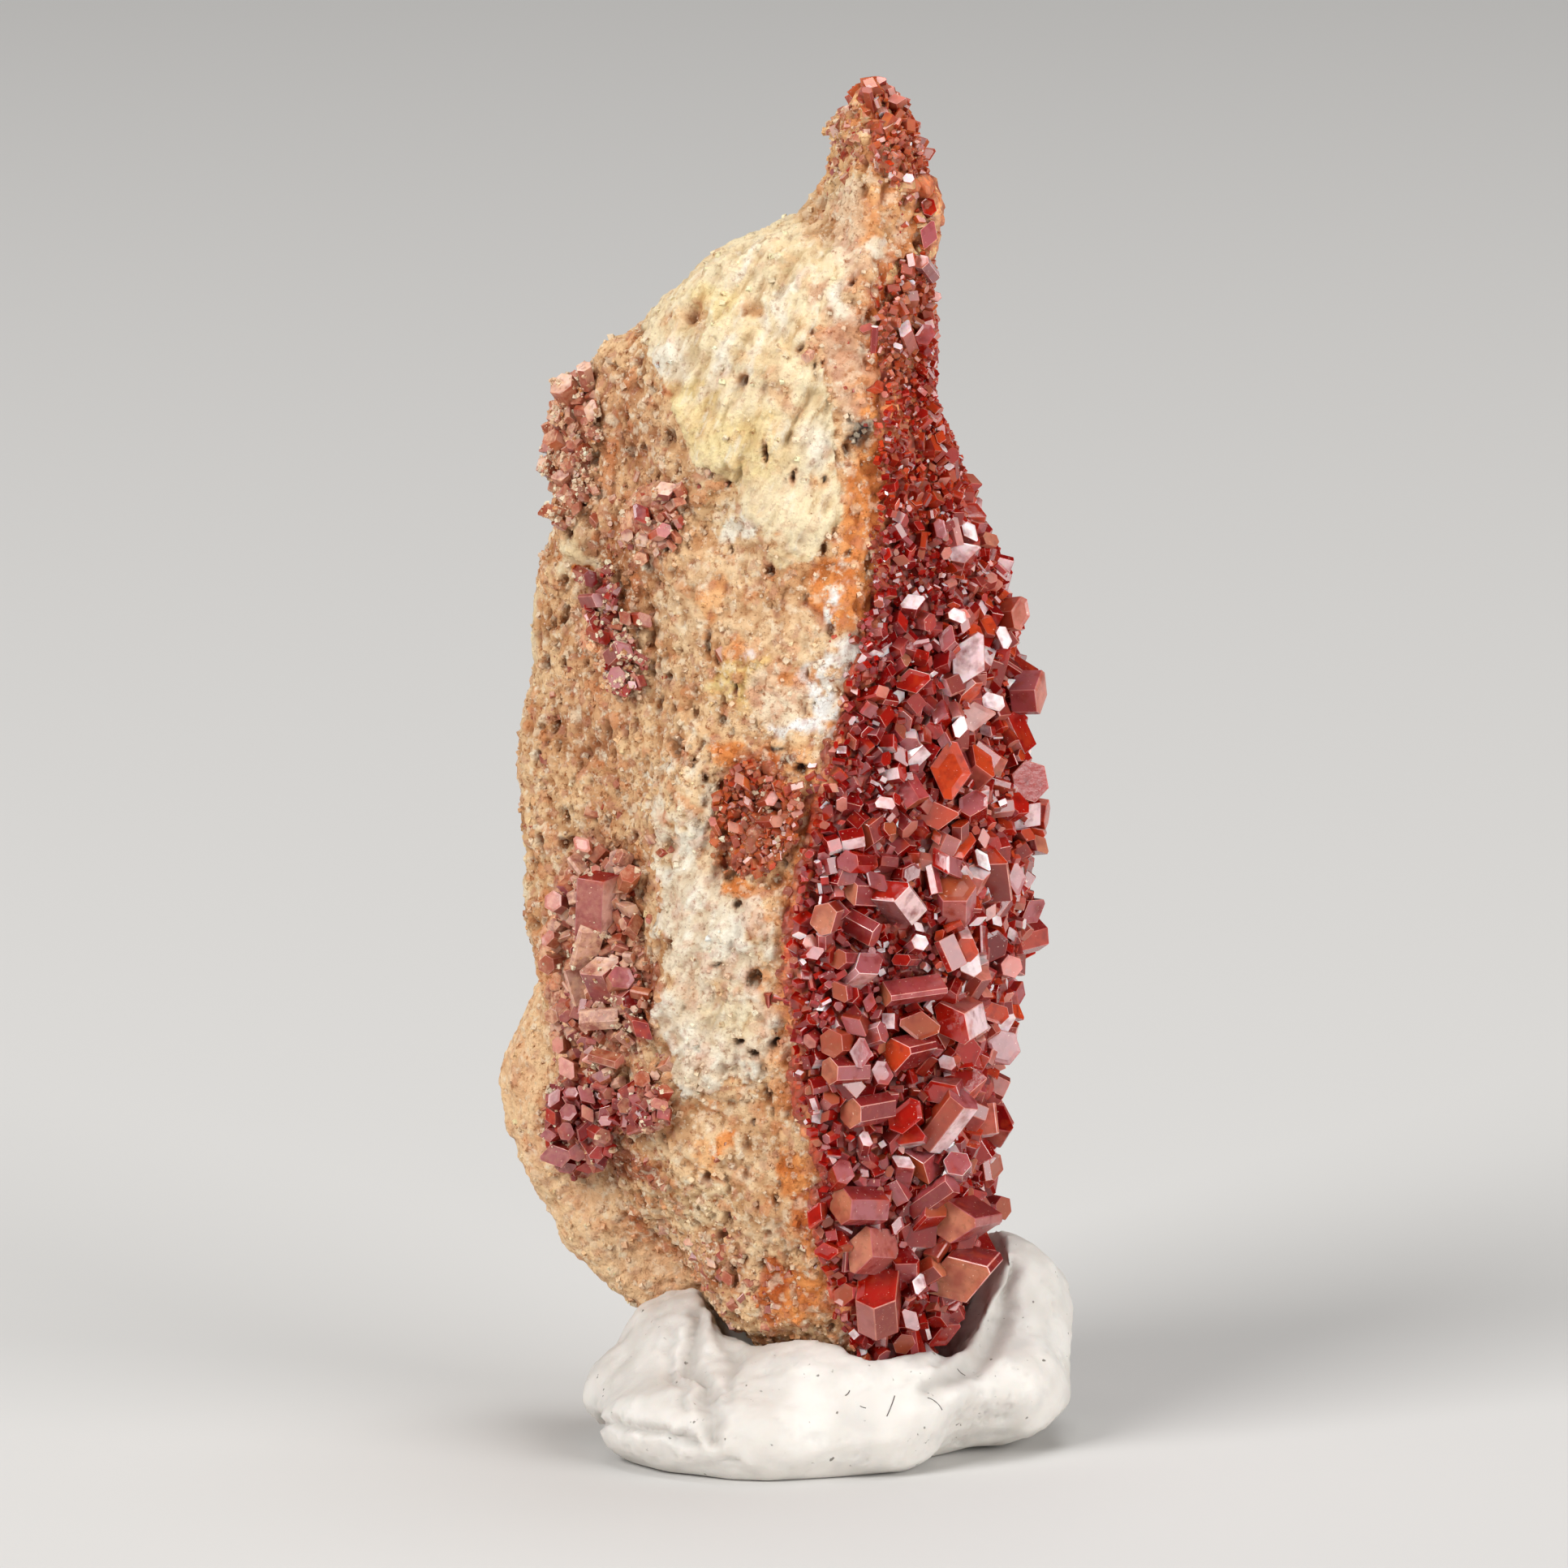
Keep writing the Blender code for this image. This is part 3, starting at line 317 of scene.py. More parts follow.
# The druse's left edge on the front and on the back, as (height, across), and how deep in these two lie.
DRUSE_FRONT = [
    (4.6, 2.2), (6.3, 1.7), (8.3, 1.0), (10.2, 0.4), (12.1, 0.0), (14.1, 0.4), (17.9, -0.6), (21.8, -1.0),
    (25.7, -1.3), (28.4, -0.8), (31.5, 0.0), (35.3, 1.1), (39.2, 2.3), (43.1, 3.0), (46.9, 3.4),
    (50.8, 3.4), (54.7, 3.4), (58.5, 5.3), (60.5, 4.8), (62.6, 3.2), (63.2, -4.0), (70.0, -4.0),
]
DRUSE_BACK = [
    (4.6, 2.6), (6.3, 2.8), (8.3, 3.4), (10.2, 3.8), (12.1, 4.4), (14.1, 4.0), (17.9, 4.8), (21.8, 5.6),
    (25.7, 5.0), (28.4, 5.6), (31.5, 5.2), (35.3, 4.6), (39.2, 4.4), (43.1, 3.8), (46.9, 3.4),
    (50.8, 2.6), (54.7, 2.4), (58.5, 1.8), (60.5, 1.6), (62.6, 1.0), (63.2, -4.0), (70.0, -4.0),
]
DRUSE_FRONT_DEPTH = -7.0
DRUSE_BACK_DEPTH = 8.0

# Where the front ridge of the druse ends and the rear part shows beyond it: height, across.
REAR_EDGE = [
    (8.0, 9.5), (12.1, 8.8), (16.0, 6.9), (21.8, 5.7), (27.6, 5.9), (31.5, 5.7), (35.3, 6.3), (39.2, 6.5),
    (45.4, 6.3), (50.8, 5.7), (54.0, 7.5),
]

# Radii of the druse's filling crystals at these heights: the smallest, and the largest on the front and rear.
SIZE_HEIGHTS = [8, 14, 20, 30, 38, 46, 54, 60]
LEAST_RADII = [0.24, 0.22, 0.20, 0.17, 0.14, 0.11, 0.10, 0.12]
MOST_RADII = [0.95, 0.85, 0.78, 0.66, 0.56, 0.42, 0.36, 0.36]
MOST_REAR_RADII = [0.95, 0.95, 0.90, 0.95, 0.90, 0.50, 0.32, 0.36]

# Colours of crystals, with painted glints and reflections, and the painted highlight on their edges.
TAN = shade(188, 110, 76)
RED = shade(166, 22, 10)
DEEP = shade(126, 4, 3)
ORANGE = shade(200, 66, 26)
BROWNISH = shade(160, 72, 38)
AMBER = shade(198, 100, 48)
EMBER = shade(150, 40, 10)
MAUVE_REFLECTION = shade(166, 88, 92)
LILAC_GLINT = shade(248, 220, 222)
PINK_REFLECTION = shade(206, 126, 110)
DUSTY = shade(230, 192, 172)
EDGE_HIGHLIGHT = shade(246, 190, 178)
# What an end or the sides look like, by letter: their colour and how dull they are.
# W is a painted glint, and M and P are painted reflections of the lamps.
TINTS = {
    "T": (TAN, 0.8), "R": (RED, 0.1), "D": (DEEP, 0.0), "O": (ORANGE, 0.2), "B": (BROWNISH, 0.4),
    "M": (MAUVE_REFLECTION, 0.2), "W": (LILAC_GLINT, 0.2), "P": (PINK_REFLECTION, 0.4), "S": (DUSTY, 0.9), "A": (AMBER, 0.3),
}
# Moods of a side face: from this random number up, mixed with this colour by this share.
# The lilac, mauve and pink moods are painted glints and reflections on random faces.
COOL = [(0.94, LILAC_GLINT, 0.90), (0.85, MAUVE_REFLECTION, 0.65), (0.79, PINK_REFLECTION, 0.50), (0.73, TAN, 0.25), (0.48, RED, 0.35),
        (0.0, DEEP, 0.85)]
CALM = [(0.975, LILAC_GLINT, 0.85), (0.84, MAUVE_REFLECTION, 0.65), (0.77, PINK_REFLECTION, 0.50), (0.70, TAN, 0.25),
        (0.42, RED, 0.35), (0.0, DEEP, 0.80)]
WARM = [(0.96, LILAC_GLINT, 0.70), (0.88, PINK_REFLECTION, 0.50), (0.52, ORANGE, 0.50), (0.0, DEEP, 0.75)]
GLASSY = [(0.94, LILAC_GLINT, 0.50), (0.80, PINK_REFLECTION, 0.45), (0.50, TAN, 0.50), (0.30, AMBER, 0.50),
          (0.0, EMBER, 0.65)]
SANDY = [(0.85, DUSTY, 0.60), (0.45, TAN, 0.40), (0.22, BROWNISH, 0.40), (0.0, DEEP, 0.30)]
# Palettes: tints of an end and the sides as pairs of letters, and the moods of the sides.
Palette = namedtuple("Palette", "pairs moods")
FINE_TOP = Palette(["OO", "OR", "RO", "PO", "BR", "RR", "OB", "BO", "WO", "RB", "TO", "RR"], WARM)
MIDDLE = Palette(["MR", "RM", "BR", "MD", "RR", "DR", "BR", "PM", "TR", "WM", "DM", "RD", "PR", "DD"], COOL)
COARSE = Palette(["TR", "TB", "MR", "BM", "MR", "RM", "DD", "DR", "BD", "BR", "RR", "DM", "PM", "RD"], COOL)
REAR = Palette(["OR", "RO", "OO", "PR", "RP", "PO", "RR", "WP", "PP", "DR", "OP", "WR"], COOL)
ROSY = Palette(["MR", "DM", "MM", "PB", "DR", "BR", "PM", "MB", "MD"], COOL)
SANDED = Palette(["SB", "BB", "TS", "ST", "TB", "BR", "TT", "SS", "BM", "TB"], SANDY)
DUSTED_MAUVE = Palette(["SM", "MB", "SS", "PB", "TS", "BB", "SP", "MS"], SANDY)
BROWN_RED = Palette(["AB", "BA", "TA", "AA", "OA", "TB", "PA", "BB", "AO", "TA", "BO"], GLASSY)
HORN = Palette(["PB", "TB", "BT", "TA", "BA", "TB", "BA", "AB", "WT", "PA", "OB", "BA"], GLASSY)
# The druse's palettes by their numbers, and the heights where three of them begin.
DRUSE_PALETTES = [FINE_TOP, MIDDLE, COARSE, REAR, HORN]
HORN_FOOT = 53.0
FINE_TOP_FOOT = 45.0
MIDDLE_FOOT = 22.0

# Crystals seen one by one: across and up on the front plane, radius, length, then three angles, turned to the
# right, raised, and spun about its own axis, and the tints of its end and its sides.
DRUSE_CRYSTALS = [
    (6.9, 43.6, 0.76, 1.0, 10, 40, 15, "WD"), (7.2, 38.7, 1.14, 1.1, 8, 12, 0, "WM"),
    (8.4, 36.7, 0.69, 1.0, 20, 10, 10, "WM"), (9.3, 37.3, 0.53, 0.8, 25, 20, 20, "WR"),
    (10.2, 37.2, 1.0, 1.2, 68, 5, 5, "PM"), (10.0, 33.0, 1.14, 1.3, 25, 5, 10, "RR"),
    (6.5, 33.4, 1.14, 1.0, -5, 8, 25, "OR"), (6.1, 36.1, 0.53, 0.8, -15, 30, 20, "MR"),
    (6.8, 35.5, 0.50, 0.8, 20, 20, 10, "WR"), (6.3, 34.9, 0.46, 0.8, -10, -10, 25, "MR"),
    (4.8, 37.7, 0.72, 0.9, -5, 10, 15, "RM"), (4.7, 41.3, 0.53, 0.8, 10, 35, 20, "WM"),
    (5.9, 44.9, 0.53, 0.8, 15, 10, 10, "MR"), (7.2, 44.7, 0.50, 0.9, 30, 25, 0, "WR"),
    (8.1, 44.3, 0.53, 0.9, 45, 20, 10, "TT"), (8.8, 39.7, 0.57, 1.0, 30, 15, 20, "WM"),
    (9.5, 40.9, 0.91, 0.8, 50, 10, 5, "PB"), (6.7, 40.8, 0.53, 0.8, 20, 15, 5, "WM"),
    (6.4, 39.7, 0.50, 0.8, -10, 20, 15, "MR"), (3.4, 31.9, 0.53, 0.8, 10, 15, 20, "WM"),
    (7.6, 31.8, 0.76, 1.0, 0, 25, 0, "MR"), (10.5, 29.9, 0.61, 0.7, 55, 10, 10, "TM"),
    (10.1, 26.8, 0.76, 0.9, 50, 0, 25, "MR"), (0.6, 26.4, 0.84, 0.9, -15, 5, 45, "TB"),
    (2.5, 25.8, 0.72, 1.2, 62, -22, 10, "MM"), (2.4, 24.0, 0.84, 1.0, 38, 35, 20, "MW"),
    (3.9, 27.4, 0.84, 1.3, -28, 38, 30, "RW"), (6.8, 27.5, 1.03, 1.1, 0, 45, 30, "BM"),
    (6.3, 29.0, 0.61, 0.9, -30, 20, 10, "RM"), (9.4, 28.2, 0.65, 1.0, 30, 8, 30, "MO"),
    (1.9, 29.1, 0.69, 0.8, -30, 10, 15, "MR"), (2.1, 27.7, 0.69, 0.9, -42, 10, 0, "TM"),
    (3.0, 28.1, 0.61, 0.7, 10, 22, 10, "MR"), (1.4, 24.4, 0.53, 0.7, -30, 10, 10, "BM"),
    (0.1, 24.7, 0.42, 0.6, 20, 15, 15, "MR"), (1.4, 22.9, 0.53, 0.7, -15, 5, 10, "BM"),
    (4.3, 24.4, 0.50, 0.7, -20, 10, 30, "RM"), (4.9, 25.1, 0.53, 0.8, 30, 30, 10, "WM"),
    (4.5, 22.9, 0.72, 2.4, -66, -3, 0, "TM"), (2.7, 22.3, 0.42, 0.6, 0, 20, 20, "MR"),
    (5.0, 21.3, 0.91, 0.9, 8, 3, 50, "BR"), (6.8, 21.5, 0.99, 1.0, -25, -5, 10, "RM"),
    (4.1, 19.9, 0.99, 1.0, -40, 0, 15, "OM"), (2.1, 21.3, 0.61, 0.8, -10, -10, 20, "MB"),
    (1.1, 20.4, 0.69, 0.8, -25, 8, 10, "BB"), (2.2, 19.9, 0.72, 0.8, 15, 20, 20, "MM"),
    (3.0, 20.8, 0.53, 1.0, 55, 20, 0, "MW"), (1.3, 19.1, 0.69, 1.2, -50, 5, 0, "TM"),
    (3.2, 18.9, 0.65, 0.8, 20, 25, 20, "MM"), (4.9, 19.7, 0.42, 0.7, 10, 32, 15, "WM"),
    (6.4, 19.4, 0.50, 0.7, 0, 25, 15, "WM"), (6.1, 18.1, 0.99, 0.9, -10, 0, 20, "RM"),
    (8.8, 20.2, 0.91, 1.2, 20, 10, 15, "MM"), (8.5, 21.9, 0.76, 1.1, 15, 5, 10, "OR"),
    (9.1, 24.1, 0.69, 1.0, 32, 8, 10, "OM"), (9.6, 22.8, 0.46, 0.7, 50, 5, 10, "MR"),
    (2.4, 17.1, 0.88, 1.4, -48, 0, 0, "TM"), (2.5, 15.6, 0.46, 0.7, 10, 42, 15, "WM"),
    (4.5, 16.8, 0.99, 0.9, -5, 20, 10, "RR"), (6.5, 16.9, 0.91, 2.4, 62, 52, 10, "MB"),
    (4.3, 14.5, 0.50, 0.7, 10, 45, 20, "WM"), (1.4, 14.1, 0.65, 0.8, 20, 30, 10, "MR"),
    (5.9, 13.2, 0.61, 2.0, 62, 36, 10, "MM"), (6.9, 14.5, 0.76, 1.0, 0, 22, 20, "MW"),
    (8.2, 14.5, 0.84, 1.2, 35, 5, 10, "BM"), (8.7, 12.5, 0.69, 1.1, 45, 0, 10, "BM"),
    (2.0, 12.6, 0.95, 1.5, -52, 8, 0, "TM"), (4.0, 11.6, 0.42, 0.6, 20, 20, 10, "MR"),
    (3.0, 11.7, 0.46, 0.6, -20, 45, 10, "WM"), (6.9, 11.9, 1.30, 1.5, -30, 5, 5, "TM"),
    (7.1, 9.3, 1.45, 1.5, -22, -12, 20, "TM"), (2.6, 10.5, 1.03, 1.2, -34, 12, 15, "TM"),
    (3.1, 8.3, 1.52, 1.3, -6, 55, 0, "RB"), (5.0, 8.7, 0.50, 0.8, 15, 20, 10, "WM"),
    (4.5, 7.1, 0.57, 0.9, 28, 10, 10, "MR"), (3.2, 6.6, 0.46, 0.7, 0, 32, 10, "WM"),
    (4.3, 6.1, 0.61, 0.9, 10, -10, 20, "BR"), (0.8, 10.4, 0.53, 0.6, -20, 5, 10, "RO"),
    (1.7, 8.3, 0.61, 0.7, -30, 10, 10, "BR"), (0.2, 12.1, 0.50, 0.6, -20, 10, 10, "RO"),
    (5.4, 60.0, 0.50, 0.6, 10, 25, 10, "RD"), (5.4, 58.8, 0.58, 0.7, 5, 5, 10, "MB"),
    (5.2, 57.4, 0.38, 0.7, -20, 30, 20, "PW"), (5.6, 55.9, 0.36, 0.6, 20, 10, 10, "PR"),
    (4.4, 54.2, 0.42, 0.7, -15, 40, 20, "WP"), (4.0, 53.5, 0.26, 0.5, 0, 20, 10, "WW"),
    (5.2, 53.9, 0.62, 0.9, 15, 30, 20, "MR"), (2.9, 54.1, 0.20, 0.8, 10, 75, 10, "WR"),
    (4.7, 63.9, 0.34, 0.5, 0, 20, 10, "PP"), (5.3, 62.5, 0.42, 0.6, 20, 20, 20, "BB"),
    (3.9, 65.0, 0.36, 0.5, -10, 40, 10, "PB"), (4.5, 61.4, 0.30, 0.5, 0, 20, 20, "WP"),
    (3.1, 65.8, 0.36, 0.7, 0, 55, 10, "PB"), (2.6, 65.4, 0.30, 0.5, -15, 50, 20, "BB"),
    (3.6, 65.5, 0.30, 0.5, 20, 45, 0, "PR"),
]
LEFT_CRYSTALS = [
    (-10.4, 25.5, 0.80, 1.5, 25, 60, 25, "SS"), (-10.1, 27.3, 0.80, 2.4, 10, 75, 5, "DM"),
    (-9.9, 23.7, 0.84, 1.2, -25, 50, 30, "SM"), (-9.0, 23.5, 0.72, 0.9, 10, 20, 20, "MB"),
    (-9.8, 21.6, 0.62, 1.6, 78, 6, 30, "BS"), (-11.0, 23.7, 0.60, 1.4, -35, 65, 20, "TS"),
    (-11.9, 27.1, 0.57, 0.9, -30, 20, 10, "PM"),
    (-12.2, 25.4, 0.46, 0.8, -35, 20, 20, "PB"), (-12.2, 24.2, 0.57, 0.9, -35, 0, 10, "BB"),
    (-10.1, 28.5, 0.42, 0.6, 0, 30, 10, "PP"), (-10.7, 29.8, 0.53, 0.8, -20, 30, 20, "PB"),
    (-8.6, 28.4, 0.61, 0.8, 10, 30, 10, "BA"), (-8.0, 21.1, 0.53, 0.6, 10, 0, 15, "DR"),
    (-8.7, 22.5, 0.50, 0.6, 20, 5, 10, "DM"), (-10.4, 19.6, 0.38, 0.6, -10, 20, 10, "PB"),
    (-9.4, 19.6, 0.42, 0.9, 50, -5, 0, "PB"), (-11.4, 19.2, 0.61, 0.8, -25, 15, 10, "PB"),
    (-11.8, 20.3, 0.46, 0.7, -30, 10, 10, "PB"), (-8.8, 17.4, 0.42, 0.5, 0, 5, 20, "BB"),
    (-7.2, 17.5, 0.46, 0.5, 10, 0, 10, "PB"), (-8.0, 18.7, 0.42, 0.5, 0, 10, 10, "BB"),
]
FOOT_CRYSTALS = [
    (-12.0, 17.7, 0.42, 0.7, -30, 25, 10, "MR"), (-11.3, 18.0, 0.42, 0.7, -10, 25, 30, "MR"),
    (-10.6, 17.9, 0.46, 0.7, 0, 20, 15, "MR"), (-12.1, 16.9, 0.42, 0.7, -40, 10, 10, "RM"),
    (-11.4, 17.1, 0.46, 0.8, -15, 10, 20, "MR"), (-10.6, 17.0, 0.42, 0.7, 5, 15, 0, "PR"),
    (-12.2, 16.0, 0.42, 0.7, -40, 0, 10, "MR"), (-11.5, 16.2, 0.46, 0.8, -15, 5, 25, "MR"),
    (-10.7, 16.2, 0.46, 0.7, 5, 5, 10, "DM"), (-9.9, 16.0, 0.46, 0.6, 20, 0, 10, "BR"),
    (-11.9, 15.1, 0.76, 0.9, -25, -10, 15, "MR"), (-11.0, 15.3, 0.50, 0.8, 0, -5, 10, "MR"),
    (-10.1, 15.2, 0.46, 0.6, 15, -10, 20, "RM"), (-10.6, 14.6, 0.46, 0.7, 0, -25, 10, "RD"),
    (-11.4, 14.6, 0.42, 0.7, -15, -25, 20, "MR"),
]
SHOULDER_CRYSTALS = [
    (-11.5, 51.5, 0.66, 0.9, -40, 45, 28, "SB"), (-10.3, 50.5, 0.46, 0.6, -5, 10, 20, "SB"),
    (-11.9, 50.2, 0.50, 0.6, -50, 45, 25, "SB"), (-12.0, 49.1, 0.50, 0.7, -45, 30, 10, "TA"),
    (-12.4, 47.8, 0.50, 0.7, -60, 35, 28, "SB"), (-11.7, 47.3, 0.40, 0.5, -25, 40, 20, "ST"),
    (-12.2, 45.7, 0.50, 0.7, -45, 20, 25, "BT"), (-11.0, 45.9, 0.30, 0.4, -10, 0, 10, "BB"),
    (-10.6, 52.4, 0.42, 0.5, -20, 60, 25, "SB"),
]
RECESS_CRYSTALS = [
    (-10.4, 42.6, 0.46, 0.5, 20, 0, 10, "DD"), (-10.0, 41.5, 0.46, 0.5, 25, 10, 20, "MR"),
    (-10.4, 41.2, 0.30, 0.4, 0, 10, 10, "RR"), (-10.2, 40.6, 0.38, 0.5, 10, -10, 20, "RD"),
    (-9.8, 39.8, 0.38, 0.5, 20, 0, 10, "RR"), (-8.9, 39.1, 0.50, 0.7, 20, 25, 10, "MR"),
    (-9.1, 37.8, 0.57, 0.7, -10, 20, 45, "MR"), (-8.8, 37.3, 0.38, 0.5, 30, 0, 20, "RR"),
]
UPPER_CRYSTALS = [
    (-7.9, 45.6, 0.53, 0.6, -10, 20, 10, "DR"), (-6.9, 46.7, 0.50, 0.6, 0, 30, 20, "SM"),
    (-7.0, 44.8, 0.46, 0.6, 20, 20, 10, "RO"), (-7.9, 44.4, 0.38, 0.5, -10, -5, 20, "SM"),
    (-8.6, 44.6, 0.34, 0.4, -10, 10, 10, "SB"), (-8.0, 43.5, 0.38, 0.4, -10, 0, 10, "TB"),
    (-8.7, 40.7, 0.42, 0.5, -10, 10, 10, "BR"), (-7.9, 40.6, 0.46, 0.5, 20, 10, 10, "BR"),
]
POCKET_CRYSTALS = [
    (-3.3, 33.0, 0.34, 0.4, -30, 30, 10, "TA"), (-1.9, 32.1, 0.44, 0.4, 20, 15, 20, "PB"),
    (-3.0, 31.9, 0.30, 0.4, -20, 30, 0, "BA"), (-1.7, 31.0, 0.40, 0.3, 30, 10, 28, "TD"),
    (-3.6, 30.7, 0.36, 0.4, -30, 20, 20, "TA"), (-4.6, 30.9, 0.30, 0.4, -20, 40, 25, "PA"),
]
# Where each small group grows: across, up, half width, half height. Then the groups themselves, with the two
# tones of their skin, their palette, the smallest and largest radius of their filling crystals, how far the
# crystals seen one by one are sunk in, how evenly the filling covers its place, and how many places it tries.
LEFT_PATCH = [(-10.3, 24.2, 2.3, 6.0)]
FOOT_PATCH = [(-11.0, 16.6, 1.7, 2.7), (-8.3, 17.2, 1.8, 1.1)]
SHOULDER_PATCH = [(-11.6, 49.0, 1.3, 3.8)]
RECESS_PATCH = [(-10.0, 41.0, 0.8, 2.0), (-9.0, 38.4, 1.0, 1.3)]
UPPER_PATCH = [(-7.5, 45.3, 1.2, 1.8)]
POCKET_PATCH = [(-2.6, 31.3, 2.0, 2.7)]
Group = namedtuple("Group", "crystals patches tones palette least most sunk cover tries")
ROSY_CRUST = (shade(140, 28, 18), shade(190, 96, 66))
LEFT_GROUPS = [
    Group(LEFT_CRYSTALS, LEFT_PATCH, DUSTY_CRUST, DUSTED_MAUVE, 0.08, 0.44, 0.15, 0.0, 80000),
    Group(FOOT_CRYSTALS, FOOT_PATCH, ROSY_CRUST, ROSY, 0.12, 0.38, 0.0, 0.5, 120000),
]
UPPER_LEFT_GROUPS = [
    Group(SHOULDER_CRYSTALS, SHOULDER_PATCH, DUSTY_CRUST, SANDED, 0.10, 0.36, 0.45, 0.0, 80000),
    Group(RECESS_CRYSTALS, RECESS_PATCH, DUSTY_CRUST, ROSY, 0.10, 0.34, 0.3, 0.0, 60000),
    Group(UPPER_CRYSTALS, UPPER_PATCH, DUSTY_CRUST, SANDED, 0.08, 0.30, 0.45, 0.0, 80000),
]
POCKET_GROUPS = [Group(POCKET_CRYSTALS, POCKET_PATCH, BROWN_CRUST, BROWN_RED, 0.07, 0.24, 0.2, 1.0, 260000)]
# How many grains of sand lie on the left, the upper left and the pocket crystals.
DUSTINGS = [1500, 3000, 120]


# Noise

# Noises by name: the size of their lumps in millimetres, their seed, and how many sizes of lumps lie on each
# other. First the borders and stains of the rock, then its relief and tone.
EDGE_SWAY = (5.0, 251, 3)
BARE_SWAY = (1.4, 221, 3)
BUFF_AREAS = (6.0, 11, 3)
CREAM_AREAS = (5.0, 12, 3)
SIDEWAYS_SWAY = (1.8, 21, 5)
UPWARDS_SWAY = (1.8, 31, 5)
UPPER_GAPS = (2.0, 27, 4)
LOWER_GAPS = (1.8, 23, 5)
OCHRE_STAIN = (1.2, 25, 4)
RUST_STAIN = (0.9, 26, 4)
POWDER_GAPS = (0.5, 29, 3)
BROAD_SWELL = (3.0, 41, 2)
BROKEN_SWELL = (1.2, 43, 3)
CELL_WARP = (0.8, 66, 2)
STREAK_WARP = (2.5, 101, 2)
STREAK_RIDGES = (1.0, 105, 4)
FLAKES = (0.9, 111, 3)
FINE_TONE = (0.35, 95, 2)
MOTTLING = (1.6, 91, 5)
PORE_JITTER = (0.4, 121, 2)
# The crystals: their clusters, and the borders, sizes and palettes of the druse.
DUST_CLUSTERS = (1.1, 261, 3)
STREWN_CLUSTERS = (2.2, 241, 3)
HORN_CLUSTERS = (1.2, 243, 3)
DRUSE_SWAY = (1.2, 201, 3)
PATCH_SWAY = (1.2, 211, 3)
DRUSE_SIZES = (2.6, 271, 3)
PALETTE_SWAY = (2.0, 231, 2)
# The tack.
TACK_SWELL = (3.6, 401, 2)
TACK_DENTS = (1.0, 403, 3)
CREASE_SWAY = (1.5, 405, 3)
WRINKLES = (2.6, 411, 4)
FINE_WRINKLES = (1.3, 431, 4)
TACK_TONE = (2.4, 421, 3)
# Scattered grains and pits of the rock: how far apart they are in millimetres, and their seed.
CRUMB_CELLS = (0.62, 51)
GRIT_CELLS = (0.36, 55)
PIT_CELLS = (0.90, 71)
SMALL_PIT_CELLS = (0.50, 75)


def lumps(points, size, seed):
    """Smooth noise from -1 to 1 at each point, with lumps of about this size."""
    table = np.random.default_rng(seed).uniform(-1.0, 1.0, (32, 32, 32))
    place = points / size
    cell = np.floor(place).astype(int)
    part = place - cell
    part = part * part * (3.0 - 2.0 * part)
    total = np.zeros(len(points))
    for corner in itertools.product((0, 1), repeat=3):
        i, j, k = ((cell + corner) % 32).T
        share = np.prod(np.where(np.array(corner) == 1, part, 1.0 - part), axis=1)
        total += share * table[i, j, k]
    return total


def rugged(points, size, seed, octaves):
    """Lumps on lumps, each set half the size of the one before it."""
    total = np.zeros(len(points))
    for octave in range(octaves):
        total += lumps(points + 3.7 * octave, size * 0.5 ** octave, seed + octave) * 0.6 ** octave
    return total


def cells(points, size, seed):
    """How far off the nearest of some scattered seeds is, in units of size, and that seed's own number."""
    table = np.random.default_rng(seed).uniform(0.0, 1.0, (32, 32, 32, 4))
    place = points / size
    cell = np.floor(place).astype(int)
    nearest = np.full(len(points), np.inf)
    number = np.zeros(len(points))
    for step in itertools.product((-1, 0, 1), repeat=3):
        i, j, k = ((cell + step) % 32).T
        seeds = table[i, j, k]
        gap = np.linalg.norm(cell + step + seeds[:, :3] - place, axis=1)
        number = np.where(gap < nearest, seeds[:, 3], number)
        nearest = np.minimum(nearest, gap)
    return nearest, number


def ramp(values, low, high):
    """A smooth rise from 0 at low to 1 at high."""
    share = np.clip((values - low) / (high - low), 0.0, 1.0)
    return share * share * (3.0 - 2.0 * share)


def mixed(first, second, share):
    """The first values turned into the second ones by this share."""
    return first + (np.asarray(second) - first) * share[:, None]


def picked(chosen, *arrays):
    """The chosen rows of several arrays."""
    return [array[chosen] for array in arrays]


# Mesh helpers

def new_object(name, data):
    obj = bpy.data.objects.new(name, data)
    bpy.context.scene.collection.objects.link(obj)
    return obj


def apply_modifiers(obj):
    """Give an object the mesh that its modifiers make of it."""
    depsgraph = bpy.context.evaluated_depsgraph_get()
    mesh = bpy.data.meshes.new_from_object(obj.evaluated_get(depsgraph))
    obj.modifiers.clear()
    obj.data = mesh


def remeshed_node(node, name, pitch, smoothing):
    """A copy of a CAD node's mesh, with even faces of this size and its facets smoothed."""
    obj = new_object(name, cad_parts[node].data.copy())
    remesh = obj.modifiers.new("remesh", "REMESH")
    remesh.mode = "VOXEL"
    remesh.voxel_size = pitch * MM
    smooth = obj.modifiers.new("smooth", "SMOOTH")
    smooth.factor = 0.5
    smooth.iterations = smoothing
    apply_modifiers(obj)
    return obj


def points_and_normals(mesh):
    """Vertex places in millimetres and vertex normals."""
    points = np.zeros(len(mesh.vertices) * 3, np.float32)
    normals = np.zeros(len(mesh.vertices) * 3, np.float32)
    mesh.vertices.foreach_get("co", points)
    mesh.vertices.foreach_get("normal", normals)
    return points.reshape(-1, 3).astype(float) / MM, normals.reshape(-1, 3).astype(float)


def move_points(mesh, points):
    mesh.vertices.foreach_set("co", (points * MM).astype(np.float32).ravel())
    mesh.update()


def paint_points(mesh, colours, dullness):
    """A colour for each vertex, with its dullness as the fourth value."""
    tint = mesh.color_attributes.new("tint", "FLOAT_COLOR", "POINT")
    tint.data.foreach_set("color", np.column_stack((colours, dullness)).astype(np.float32).ravel())


def make_smooth(mesh):
    mesh.polygons.foreach_set("use_smooth", np.ones(len(mesh.polygons), bool))


